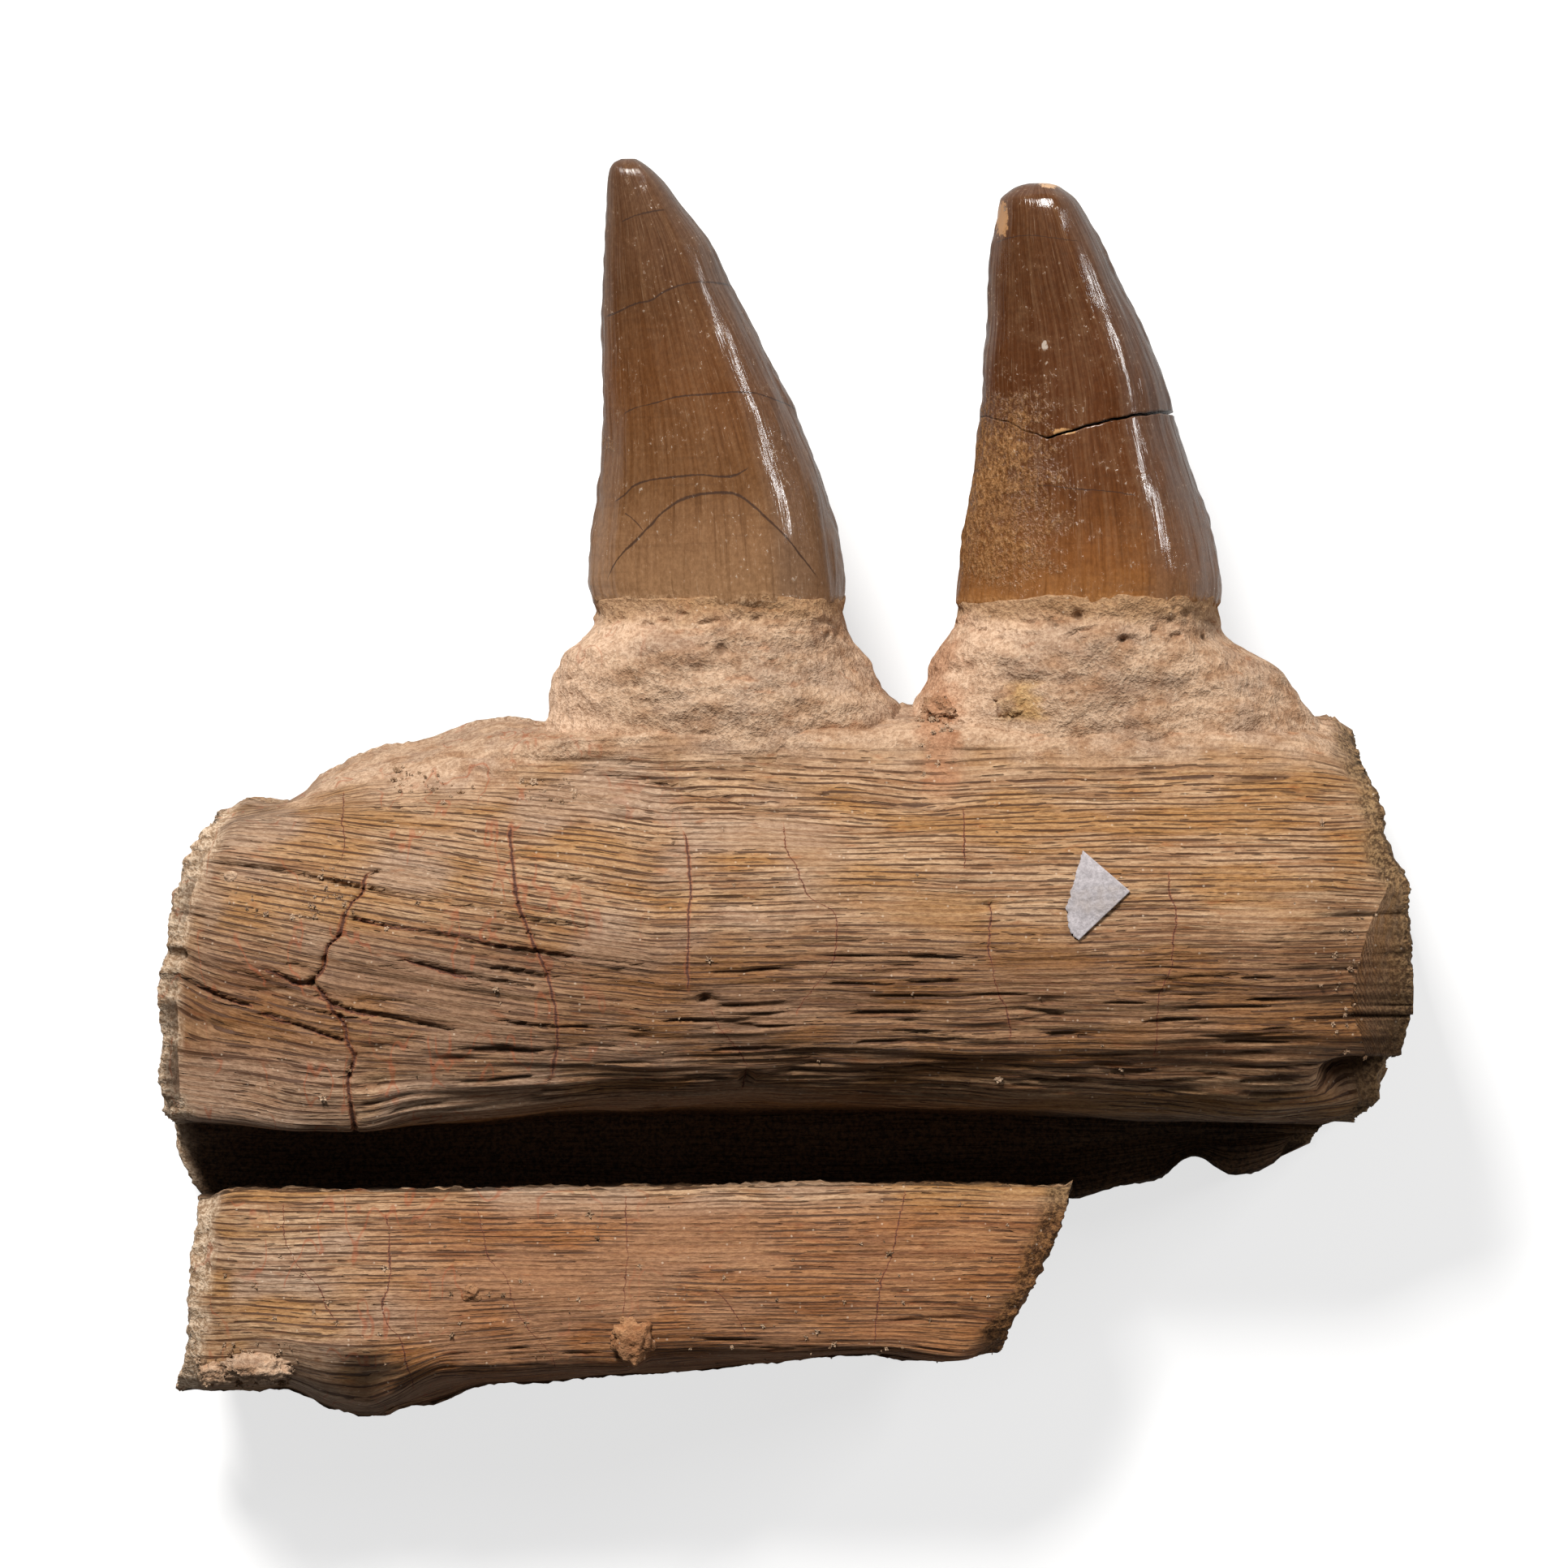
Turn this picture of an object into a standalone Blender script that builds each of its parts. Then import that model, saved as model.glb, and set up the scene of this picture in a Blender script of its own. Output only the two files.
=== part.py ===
"""A fossil mosasaur jaw section: a broken length of lower jaw with two tooth crowns.

It lies on its outer side. X runs along the jaw, +Y points to the crown tips and +Z to the
inner side, where the canal is open. The origin is under the middle, on the resting surface.
Points are in millimetres, as (x, y, z).
"""

import math

import bmesh
import bpy
import numpy as np
from mathutils import Vector, noise

MM = 0.001
GAP = 0.3

# The bar and the outer wall: lines along the jaw, on the inner side, from the top down.
ALVEOLAR_RIM = [(-62.5, -2.5, 20), (-60, -1, 15), (-56.5, -1.5, 13), (-51, 2, 13), (-48, 3.7, 13),
                (-41.5, 5.2, 14), (-31, 7.7, 16), (-26.5, 7.2, 18), (-10, 7.7, 22), (13.5, 9, 22),
                (43.5, 8, 22), (61.5, 7.7, 20), (63.3, 6.2, 19)]
MARGIN_SLOPE = [(-63, -3, 26), (-58, -2.4, 27), (-51, 0, 27), (-42, 2.6, 27), (-33, 4.4, 29),
                (-24, 5.3, 32), (-10, 6, 33), (13.5, 6.2, 31), (25.5, 6, 33), (43.5, 6, 33),
                (57, 5.3, 31.5), (64, 3.5, 27)]
MARGIN_CHANNEL = [(-63, -3.8, 30), (-51, -1.5, 30.5), (-42, 0, 31), (-33, 0.9, 31.5),
                  (-10, 0.9, 33), (16.5, -0.1, 34), (30, 0.3, 35), (48, 0.5, 35), (57, 0.5, 34),
                  (65, 0.1, 30.5)]
SHELF_EDGE = [(-63, -4.8, 31.5), (-60, -3.2, 33), (-48.5, -2.8, 35.2), (-29, -2.8, 36),
              (-10, -3.4, 36.6), (12, -3.9, 36.8), (30, -3.5, 37.2), (48, -3.7, 37),
              (59, -3.7, 36), (65.4, -3.5, 33)]
UPPER_FRONT = [(-64.2, -7.8, 32), (-60, -8, 36), (-46.5, -8.3, 38), (-24, -8.5, 38.8),
               (30, -8.5, 39.6), (57, -8.5, 39), (67, -9, 34.5)]
FRONT_CREST = [(-66, -14, 31.5), (-61.5, -14.5, 36), (-46.5, -15.4, 39), (-24, -16, 40),
               (30, -16, 41), (53.5, -16, 40.4), (64.2, -16, 36)]
FRONT_BELLY = [(-67, -21.3, 31.5), (-61.5, -22.2, 35.5), (-46.5, -23, 38.4), (-24, -23.5, 39.4),
               (30, -23.5, 39.6), (53.5, -23.5, 38.8), (62.7, -23.3, 35)]
LOWER_FRONT = [(-67, -29.4, 30), (-61.5, -29.4, 33.6), (-46.5, -29.8, 36.4), (-24, -29.4, 36.2),
               (3, -29, 35.4), (53.5, -29.2, 34.6), (64.3, -29.4, 30.5)]
LIP = [(-66.5, -36.2, 27), (-60, -36.9, 30.6), (-52.5, -37.8, 31.6), (-46.5, -37.8, 31.6),
       (-40, -36.5, 31), (-31, -35.8, 30), (-19, -34.2, 29), (-6, -33.9, 28.4), (12, -34.2, 28),
       (30, -35, 27), (43.5, -35.7, 25.5), (53.5, -36.6, 24), (63.6, -35.9, 22)]
CANAL_ROOF = [(-65.2, -37.2, 14), (-46.5, -37.6, 13), (-19, -36.4, 12.5), (12, -36.2, 12),
              (39, -36.9, 12), (57.5, -37.7, 11)]
CANAL_FLOOR = [(-65, -40.6, 12.5), (-46.5, -41, 11.5), (-6, -41, 11), (30, -40.5, 11),
               (41, -39.5, 11), (48, -38.9, 11), (57.3, -38.4, 10)]
WALL_FOOT = [(-64.8, -45.6, 12), (-46.5, -46.3, 12), (-6, -46.3, 12), (32, -45.5, 12),
             (38.5, -44, 11), (42, -43.2, 11), (46, -40.8, 11), (50.3, -43, 11), (55, -41.6, 10),
             (56.5, -39.6, 9.5)]
BAR_LINES = [ALVEOLAR_RIM, MARGIN_SLOPE, MARGIN_CHANNEL, SHELF_EDGE, UPPER_FRONT, FRONT_CREST,
             FRONT_BELLY, LOWER_FRONT, LIP, CANAL_ROOF, CANAL_FLOOR, WALL_FOOT]
BAR_ROWS = [1, 1, 1, 2, 3, 3, 3, 3, 2, 1, 1]
BAR_COLUMNS = 70

# The lower flange, in front of the outer wall's lower part.
FLANGE_RIM = [(-64.6, -45.4, 23), (-60, -44.3, 27), (-46.5, -44.5, 28), (-6, -44, 28),
              (12, -43.8, 28), (31.8, -44.1, 25.5)]
FLANGE_UPPER = [(-64.3, -47.4, 24.5), (-60, -47.4, 28.4), (-24, -47.4, 29.4), (12, -47.4, 29),
                (31, -47.6, 26)]
FLANGE_MIDDLE = [(-65, -53.7, 24.5), (-60, -53.7, 28.4), (-24, -53.7, 29.4), (12, -53.7, 28.8),
                 (27.8, -53.7, 26)]
FLANGE_LOWER = [(-66, -60.4, 23.5), (-60, -60.4, 27.4), (-46.5, -61, 28.4), (-24, -59.6, 28.4),
                (12, -59, 27.8), (24.8, -59.6, 25)]
FLANGE_EDGE = [(-67.2, -66, 19), (-64.3, -66, 21.5), (-56, -65.7, 23), (-50, -67.9, 22),
               (-46.5, -68.4, 20), (-43.5, -67.5, 23), (-37.5, -64.5, 26), (-17.5, -64, 26),
               (-14.5, -62.5, 26), (3, -62.2, 26.4), (11, -62, 26.4), (19.5, -63, 25),
               (23.9, -62.2, 20)]
FLANGE_FOOT = [(-67.6, -66.6, 13), (-60.5, -66.7, 12), (-56, -66.2, 12), (-50.5, -68.7, 12),
               (-46.7, -70, 13.4), (-45.2, -70, 13.4), (-43.5, -68.7, 12.4), (-39.5, -68, 11.4),
               (-33, -65.9, 11), (-16, -64.6, 11), (-0.5, -63.3, 11), (10, -62.5, 11),
               (17, -63.4, 11.2), (23.9, -62.6, 15)]
FLANGE_LINES = [FLANGE_RIM, FLANGE_UPPER, FLANGE_MIDDLE, FLANGE_LOWER, FLANGE_EDGE, FLANGE_FOOT]
FLANGE_ROWS = [1, 2, 2, 2, 1]
FLANGE_COLUMNS = 46

# How far each broken end reaches between its two faces, as (x, y), from the top down.
LEFT_END = [(-62.7, -2.5), (-64.3, -4.8), (-66.2, -8.3), (-67.6, -13), (-68.5, -20.4),
            (-69, -24), (-68.9, -29.4), (-69.2, -31.7), (-68.2, -36.2), (-67.6, -41), (-65, -45.4)]
RIGHT_END = [(63.3, 6.2), (63.4, 4), (65.3, 0), (66, -3.5), (67.2, -8), (69, -11.2), (68.6, -16),
             (69.4, -23.3), (67.9, -29.6), (65.6, -35), (63.3, -36.8), (57.5, -37.5),
             (57, -42)]
FLANGE_LEFT_END = [(-65, -45.4), (-65.7, -53), (-66.1, -55.5), (-66.2, -61), (-67.6, -66.6)]
FLANGE_RIGHT_END = [(31.8, -44.1), (30.3, -48.8), (27.6, -55.3), (24.8, -59.7), (23.9, -62.4)]
END_UNDERCUT = 1.5
END_ROUGHNESS = 0.8

# The outer side is gently convex round the flat patch that the jaw rests on.
FLAT_TOP, FLAT_BOTTOM = -7, -47
FLAT_LEFT, FLAT_RIGHT = -50, 55
BACK_RISE_TOP = (15, 6)       # over this run in y, the outer side comes forward by so much
BACK_RISE_BOTTOM = (19, 10)
BACK_RISE_ENDS = (18, 4)
BACK_RELIEF = 0.8
THINNEST = 2.5
FLANGE_STEP = 0.8             # the outer layer has flaked off the back of the flange

# The layered grain: ridges along the jaw, which dip to the right at the left end.
RIDGE_HEIGHTS, RIDGE_PITCHES = (0.5, 0.35), (5.6, 9.1)
GRAIN_DIP, DIP_END = 0.26, -12
LUMP_HEIGHT, LUMP_SIZE = 0.5, 9
NEARLY_FLAT = math.radians(3)  # faces that meet at less are one, except next to the flat patch

# Pedestals and crowns, upwards: (y, left x, right x, middle z, half depth).
LEFT_PEDESTAL = [(1.2, -26.8, 16.4, 20, 12.6), (6.2, -26.6, 15, 20, 13.2),
                 (9.3, -26.2, 13.2, 20.3, 13.2), (11.6, -25.7, 11, 20.5, 13),
                 (14.3, -24.8, 9.3, 20.7, 12.8), (17, -23.4, 8.1, 21, 12.5),
                 (19.2, -21.7, 7.3, 21, 12.2), (20.4, -21.2, 6.9, 21, 11.9)]
RIGHT_PEDESTAL = [(1.2, 11.4, 62, 20, 12.6), (6.2, 12.4, 60.6, 20, 13.2),
                  (8.6, 13.8, 58.6, 20.3, 13.2), (11.1, 15.3, 57, 20.5, 13),
                  (12.9, 16.4, 55.5, 20.7, 12.9), (15.2, 16.9, 52.5, 20.8, 12.8),
                  (17, 17.6, 50, 21, 12.6), (18.8, 18.4, 48.9, 21, 12.4),
                  (20.4, 19.3, 48.4, 21, 12.2)]
LEFT_CROWN = [(20.7, -21.1, 6.8, 21, 11.6), (23.3, -21.6, 6.8, 21, 11.7), (30, -21.1, 5.8, 21.4, 11.1),
              (38, -20.2, 3, 22, 9.6), (47, -20.2, -1.1, 22.8, 7.8), (56, -20.1, -5.7, 23.7, 5.8),
              (64.2, -19.6, -10.7, 24.4, 3.8), (67, -19.5, -12.8, 24.7, 2.9),
              (68.7, -19.3, -14.4, 24.9, 2.2), (70, -18.4, -16, 25, 1.2)]
RIGHT_CROWN = [(20.7, 19.3, 48.5, 21, 12), (23, 19.5, 48.6, 21, 12.1), (29, 20.1, 47.6, 21.4, 11.5),
               (38, 21.5, 44.5, 22, 10.2), (43.2, 22.1, 43.1, 22.4, 9.5), (47, 22.2, 41.9, 22.7, 8.9),
               (56, 22.8, 37.6, 23.5, 7.2), (63.5, 23.7, 33.8, 24.2, 5.4), (65.5, 24, 32.5, 24.4, 4.6),
               (66.6, 25.3, 31.1, 24.5, 3.4), (67.2, 26.4, 30.2, 24.6, 2.2)]
CROWN_RINGS = 15
CROWN_SIDES, PEDESTAL_SIDES = 26, 26
CROWN_ROUNDNESS, PEDESTAL_ROUNDNESS = 1.85, 2.2     # powers of the section: 2 is an ellipse
CREST_SHIFT = 0.28            # the crown's crest stands to the right of its middle
PEDESTAL_LUMPS, PEDESTAL_LUMP_SIZE = 0.7, 3.2
ROOT_DEPTH = 5.5
ROOT_WIDTHS = (0.66, 0.8)     # of the crown's base, at the root's end and at its neck

# The break across the right crown, left to right, and the space that it left.
BREAK = [(18, 42.4), (21.7, 42), (24.8, 40.9), (26.7, 39.8), (29.1, 38.9), (31, 39.4), (34.6, 40.4),
         (39.1, 41.4), (42, 42), (46, 43)]
BREAK_WIDTH = 0.35

# Matrix stuck to the bone and holes in it: centre and half sizes.
MATRIX_LUMPS = [((-16.6, -60.6, 28.2), (2.4, 2.6, 1.6)), ((-34.6, -55.5, 29.3), (1.1, 1, 0.7)),
                ((-60.7, -9.4, 35.6), (0.7, 0.7, 0.6)), ((18, 8.6, 26), (2.6, 2, 4)),
                ((25.8, 9.6, 33.2), (2, 1.8, 1.1))]
HOLES = [((63, -32, 30), (3.6, 2, 4.5)), ((-8.6, -22.9, 40.2), (0.9, 0.7, 1.6)),
         ((22.5, -12.1, 41), (1, 0.8, 1.8)), ((-6.8, 15.6, 33.4), (1.1, 0.9, 1.8)),
         ((-67.5, -18.1, 33), (1.4, 0.8, 0.8))]

# The torn corner of a paper label.
LABEL_OUTLINE = [(32.9, -6.6), (38.1, -11.1), (32.4, -16.5), (31.5, -15.5), (31, -13.2), (32.3, -8.7)]
LABEL_THICKNESS, LABEL_CLEARANCE = 0.3, 0.35


def through(stops, values, at):
    """A smooth curve through values at the stops, with no overshoot, read at other places."""
    stops, values = np.array(stops, float), np.array(values, float)
    run = np.diff(stops).reshape(-1, *[1] * (values.ndim - 1))
    rise = np.diff(values, axis=0) / run
    total = rise[:-1] + rise[1:]
    same = rise[:-1] * rise[1:] > 0
    bend = np.where(same, 2 * rise[:-1] * rise[1:] / np.where(same, total, 1), 0)
    slope = np.concatenate([rise[:1], bend, rise[-1:]])
    i = np.clip(np.searchsorted(stops, at) - 1, 0, len(run) - 1)
    t = ((at - stops[i]) / run[i].reshape(-1)).reshape(-1, *[1] * (values.ndim - 1))
    return (values[i] * (1 + 2 * t) * (1 - t) ** 2 + run[i] * slope[i] * t * (1 - t) ** 2
            + values[i + 1] * t * t * (3 - 2 * t) + run[i] * slope[i + 1] * t * t * (t - 1))


def sheet(lines, rows, columns):
    """The surface through lines along the jaw, as points [column, row]."""
    u = np.linspace(0, 1, columns + 1)
    run = []
    for line in lines:
        p = np.array(line, float)
        x = p[0, 0] + (p[-1, 0] - p[0, 0]) * u
        run.append(np.stack([x, *through(p[:, 0], p[:, 1:], x).T], axis=1))
    v = np.concatenate([k + np.arange(n) / n for k, n in enumerate(rows)] + [[len(rows)]])
    return through(np.arange(len(lines)), np.array(run), v).transpose(1, 0, 2)


def ridges(x, y):
    """The height of the layered grain."""
    across = y + GRAIN_DIP * np.minimum(x - DIP_END, 0) + 0.8 * np.sin(x / 13)
    waves = [h * np.sin(2 * math.pi * across / pitch + x / 40 + k)
             for k, (h, pitch) in enumerate(zip(RIDGE_HEIGHTS, RIDGE_PITCHES))]
    return sum(waves)


def lumps(points, size):
    """Smooth noise between about -1 and 1, with features of one size."""
    flat = points.reshape(-1, 3) / size
    return np.array([noise.noise(Vector(p)) for p in flat]).reshape(points.shape[:-1])


def back_height(x, y):
    """The outer side: flat where the jaw rests, and rising towards its edges."""
    beyond = [(y - FLAT_TOP, BACK_RISE_TOP), (FLAT_BOTTOM - y, BACK_RISE_BOTTOM),
              (FLAT_LEFT - x, BACK_RISE_ENDS), (x - FLAT_RIGHT, BACK_RISE_ENDS)]
    return sum(rise * (np.maximum(d, 0) / run) ** 1.7 for d, (run, rise) in beyond)


def end_reach(outline, y):
    """The x that a broken end reaches at a height y."""
    x, heights = np.array(outline, float)[::-1].T
    return np.interp(y, heights, x)


def slab(name, lines, rows, columns, ends, back_offset, relief):
    """A closed solid between an inner sheet and the outer side, with rough broken ends."""
    front = sheet(lines, rows, columns)
    flatter = np.minimum(np.arange(front.shape[1]) / 2, 1) * relief
    front[..., 2] += flatter * (ridges(front[..., 0], front[..., 1])
                                + LUMP_HEIGHT * lumps(front, LUMP_SIZE))
    left = end_reach(ends[0], front[0, :, 1])
    right = end_reach(ends[1], front[-1, :, 1])
    span = (front[..., 0] - front[0, :, 0]) / (front[-1, :, 0] - front[0, :, 0])
    back = front.copy()
    back[..., 0] = left + END_UNDERCUT + span * (right - left - 2 * END_UNDERCUT)
    rise = back_height(back[..., 0], back[..., 1])
    rise += np.minimum(rise / 3, 1) * BACK_RELIEF * ridges(back[..., 0] + 20, back[..., 1])
    back[..., 2] = np.minimum(rise + back_offset, front[..., 2] - THINNEST)
    depth = 4
    w = np.linspace(0, 1, depth + 1)[:, None]
    solid = front[:, :, None] * (1 - w) + back[:, :, None] * w
    inner = slice(1, depth)
    rough = END_ROUGHNESS * lumps(solid[[0, -1], :, inner] + 31, 3)
    solid[0, :, inner, 0] = left[:, None] + rough[0]
    solid[-1, :, inner, 0] = right[:, None] + rough[1]
    solid[:, 0, inner, 1] += END_ROUGHNESS * lumps(solid[:, 0, inner], 4)
    return lattice_mesh(name, solid)


def lattice_mesh(name, solid):
    """A closed mesh on the outside of a block of points [column, row, depth]."""
    counts = np.array(solid.shape[:3]) - 1
    bm = bmesh.new()
    corners = {}

    def corner(place):
        if place not in corners:
            corners[place] = bm.verts.new(solid[place] * MM)
        return corners[place]

    for axis in range(3):
        a, b = [n for n in range(3) if n != axis]
        for side in (0, int(counts[axis])):
            for i in range(counts[a]):
                for j in range(counts[b]):
                    loop = []
                    for di, dj in ((0, 0), (1, 0), (1, 1), (0, 1)):
                        place = [side] * 3
                        place[a], place[b] = i + di, j + dj
                        loop.append(corner(tuple(place)))
                    bm.faces.new(loop)
    bmesh.ops.recalc_face_normals(bm, faces=bm.faces)
    bmesh.ops.triangulate(bm, faces=bm.faces)
    for angle, lowest in ((NEARLY_FLAT, 0.01 * MM), (NEARLY_FLAT / 100, -1)):
        verts = [v for v in bm.verts if v.co.z > lowest]
        edges = [e for e in bm.edges if min(v.co.z for v in e.verts) > lowest]
        bmesh.ops.dissolve_limit(bm, angle_limit=angle, verts=verts, edges=edges)
    return finished(name, bm)


def finished(name, bm):
    """The object made from a bmesh, in triangles that face outwards."""
    bmesh.ops.recalc_face_normals(bm, faces=bm.faces)
    bmesh.ops.triangulate(bm, faces=bm.faces)
    mesh = bpy.data.meshes.new(name)
    bm.to_mesh(mesh)
    bm.free()
    thing = bpy.data.objects.new(name, mesh)
    fossil.objects.link(thing)
    return thing


def section(sides, roundness, shift):
    """Points round a cross-section of half sizes 1, as (across, depth)."""
    turn = np.linspace(0, 2 * math.pi, sides, endpoint=False)
    across, depth = np.cos(turn), np.sin(turn)
    across = np.sign(across) * np.abs(across) ** (2 / roundness)
    depth = np.sign(depth) * np.abs(depth) ** (2 / roundness)
    return across + shift * np.maximum(depth, 0) * (1 - across ** 2), depth


def ring_points(ring, shape, grow=0):
    y, x0, x1, z, half = ring
    across, depth = shape
    x = (x0 + x1) / 2 + across * ((x1 - x0) / 2 + grow)
    return np.stack([x, np.full_like(x, y), z + depth * (half + grow)], axis=1)


def loft(name, rings):
    """A closed solid through rings of points, each with as many as the next."""
    bm = bmesh.new()
    loops = [[bm.verts.new(p * MM) for p in ring] for ring in rings]
    for low, high in zip(loops, loops[1:]):
        for k in range(len(low)):
            n = (k + 1) % len(low)
            bm.faces.new((low[k], low[n], high[n], high[k]))
    for loop in (loops[0], loops[-1]):
        cap = bm.faces.new(loop)
        bmesh.ops.poke(bm, faces=[cap])
    return finished(name, bm)


def root_rings(outline, grow=0):
    """The rings of a crown's short root; with grow, those of its socket, open at the top."""
    base = outline[0]
    middle, half = (base[1] + base[2]) / 2, (base[2] - base[1]) / 2
    shape = section(CROWN_SIDES, 2, 0)
    stops = [(base[0] - ROOT_DEPTH - grow, ROOT_WIDTHS[0]), (base[0] - 0.05, ROOT_WIDTHS[1])]
    if grow:
        stops.append((base[0] + ROOT_DEPTH, ROOT_WIDTHS[1]))
    rings = []
    for y, width in stops:
        ring = (y, middle - half * width, middle + half * width, base[3], base[4] * width)
        rings.append(ring_points(ring, shape, grow))
    return rings


def crown(name, outline):
    """A crown: a skewed lens in section, sharp at both edges, on its root."""
    rings = np.array(outline, float)
    y = through(np.arange(len(rings)), rings[:, 0], np.linspace(0, len(rings) - 1, CROWN_RINGS))
    body = np.column_stack([y, through(rings[:, 0], rings[:, 1:], y)])
    shape = section(CROWN_SIDES, CROWN_ROUNDNESS, CREST_SHIFT)
    return loft(name, root_rings(outline) + [ring_points(ring, shape) for ring in body])


def pedestal(name, outline):
    """A spongy bony pedestal, flared and knobbly, with its foot inside the bar."""
    shape = section(PEDESTAL_SIDES, PEDESTAL_ROUNDNESS, 0)
    rings = [ring_points(ring, shape) for ring in outline]
    middles = [np.array([(r[1] + r[2]) / 2, r[0], r[3]]) for r in outline]
    for ring, middle in zip(rings[1:-1], middles[1:-1]):
        out = ring - middle
        out /= np.linalg.norm(out, axis=1)[:, None]
        ring += out * (PEDESTAL_LUMPS * lumps(ring, PEDESTAL_LUMP_SIZE))[:, None]
    return loft(name, rings)


def knob(name, centre, half_sizes):
    """A small rounded lump or hole."""
    bm = bmesh.new()
    bmesh.ops.create_icosphere(bm, subdivisions=1, radius=MM)
    bmesh.ops.scale(bm, vec=half_sizes, verts=bm.verts)
    bmesh.ops.translate(bm, vec=Vector(centre) * MM, verts=bm.verts)
    return finished(name, bm)


def plate(name, outline, low, high):
    """A flat outline given thickness, between two heights at each of its points."""
    bm = bmesh.new()
    bottom = [bm.verts.new(Vector((x, y, z)) * MM) for (x, y), z in zip(outline, low)]
    top = [bm.verts.new(Vector((x, y, z)) * MM) for (x, y), z in zip(outline, high)]
    bm.faces.new(bottom)
    bm.faces.new(top)
    for k in range(len(outline)):
        n = (k + 1) % len(outline)
        bm.faces.new((bottom[k], bottom[n], top[n], top[k]))
    return finished(name, bm)


def combine(base, operation, tools):
    """Joins tools to base, or cuts them from it, with Booleans."""
    for tool in tools:
        fossil.objects.unlink(tool)
        helpers.objects.link(tool)
        tool.hide_render = True
        tool.display_type = "WIRE"
        step = base.modifiers.new(tool.name, "BOOLEAN")
        step.operation = operation
        step.object = tool
        step.solver = "EXACT"


def material(thing, colour, roughness):
    made = bpy.data.materials.new(thing.name)
    made.use_nodes = True
    shader = made.node_tree.nodes["Principled BSDF"]
    shader.inputs["Base Color"].default_value = (*colour, 1)
    shader.inputs["Roughness"].default_value = roughness
    thing.data.materials.append(made)


def make_bone():
    bone = slab("jaw_bone", BAR_LINES, BAR_ROWS, BAR_COLUMNS, (LEFT_END, RIGHT_END), 0, 1)
    flange = slab("flange", FLANGE_LINES, FLANGE_ROWS, FLANGE_COLUMNS,
                  (FLANGE_LEFT_END, FLANGE_RIGHT_END), FLANGE_STEP, 0.8)
    joined = [flange, pedestal("left_pedestal", LEFT_PEDESTAL),
              pedestal("right_pedestal", RIGHT_PEDESTAL)]
    joined += [knob(f"matrix_{n}", *lump) for n, lump in enumerate(MATRIX_LUMPS)]
    combine(bone, "UNION", joined)
    holes = [knob(f"hole_{n}", *hole) for n, hole in enumerate(HOLES)]
    holes += [loft("left_socket", root_rings(LEFT_CROWN, GAP)),
              loft("right_socket", root_rings(RIGHT_CROWN, GAP))]
    combine(bone, "DIFFERENCE", holes)
    material(bone, (0.27, 0.13, 0.06), 0.6)


def make_left_tooth():
    tooth = crown("left_tooth", LEFT_CROWN)
    material(tooth, (0.15, 0.06, 0.025), 0.3)


def make_right_tooth():
    """The right crown, broken across: the part above the break and the part below it."""
    for name, away, shift in (("right_tooth_base", 80, -BREAK_WIDTH / 2),
                              ("right_tooth_tip", 5, BREAK_WIDTH / 2)):
        piece = crown(name, RIGHT_CROWN)
        ends = [(BREAK[-1][0] + 8, away), (BREAK[0][0] - 8, away)]
        outline = [(x, y + shift) for x, y in BREAK] + ends
        cutter = plate(name + "_cutter", outline, [0] * len(outline), [50] * len(outline))
        combine(piece, "DIFFERENCE", [cutter])
        material(piece, (0.13, 0.05, 0.018), 0.3)


def make_label():
    """The scrap follows the bar a little above it."""
    front = sheet(BAR_LINES, BAR_ROWS, BAR_COLUMNS).reshape(-1, 3)
    heights = []
    for x, y in LABEL_OUTLINE:
        near = np.hypot(front[:, 0] - x, front[:, 1] - y) < 4
        heights.append(front[near, 2].mean() + 1.1 + LABEL_CLEARANCE)
    scrap = plate("label_scrap", LABEL_OUTLINE, heights, [z + LABEL_THICKNESS for z in heights])
    material(scrap, (0.42, 0.37, 0.37), 0.9)


for thing in list(bpy.data.objects):
    bpy.data.objects.remove(thing, do_unlink=True)
fossil = bpy.data.collections.new("mosasaur_jaw_section")
helpers = bpy.data.collections.new("cutters")
bpy.context.scene.collection.children.link(fossil)
bpy.context.scene.collection.children.link(helpers)
make_bone()
make_left_tooth()
make_right_tooth()
make_label()
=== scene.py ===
import math
import bpy
import numpy as np
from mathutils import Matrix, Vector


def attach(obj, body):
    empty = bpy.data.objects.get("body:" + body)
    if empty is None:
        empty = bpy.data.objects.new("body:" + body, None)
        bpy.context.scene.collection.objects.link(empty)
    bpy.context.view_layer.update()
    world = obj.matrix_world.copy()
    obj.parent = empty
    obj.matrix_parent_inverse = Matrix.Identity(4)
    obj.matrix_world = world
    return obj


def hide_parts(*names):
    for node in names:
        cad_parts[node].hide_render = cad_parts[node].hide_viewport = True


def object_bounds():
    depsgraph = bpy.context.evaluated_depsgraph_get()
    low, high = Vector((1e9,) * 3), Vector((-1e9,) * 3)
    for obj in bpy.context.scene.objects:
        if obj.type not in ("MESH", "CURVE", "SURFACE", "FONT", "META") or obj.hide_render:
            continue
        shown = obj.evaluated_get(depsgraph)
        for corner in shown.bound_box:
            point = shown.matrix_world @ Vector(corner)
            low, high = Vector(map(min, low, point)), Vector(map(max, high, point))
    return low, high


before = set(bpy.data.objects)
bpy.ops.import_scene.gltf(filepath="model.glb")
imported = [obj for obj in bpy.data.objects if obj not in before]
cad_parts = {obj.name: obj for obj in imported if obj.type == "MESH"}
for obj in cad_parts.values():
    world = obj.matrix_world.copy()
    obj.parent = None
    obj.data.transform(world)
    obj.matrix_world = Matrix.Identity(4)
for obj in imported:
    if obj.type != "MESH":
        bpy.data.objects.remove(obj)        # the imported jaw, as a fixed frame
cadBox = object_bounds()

# A fossil jaw section, lying on its outer side and seen from straight above. Sizes are in mm.
mm = 0.001
print("frame loaded:", sorted(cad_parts))

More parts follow.
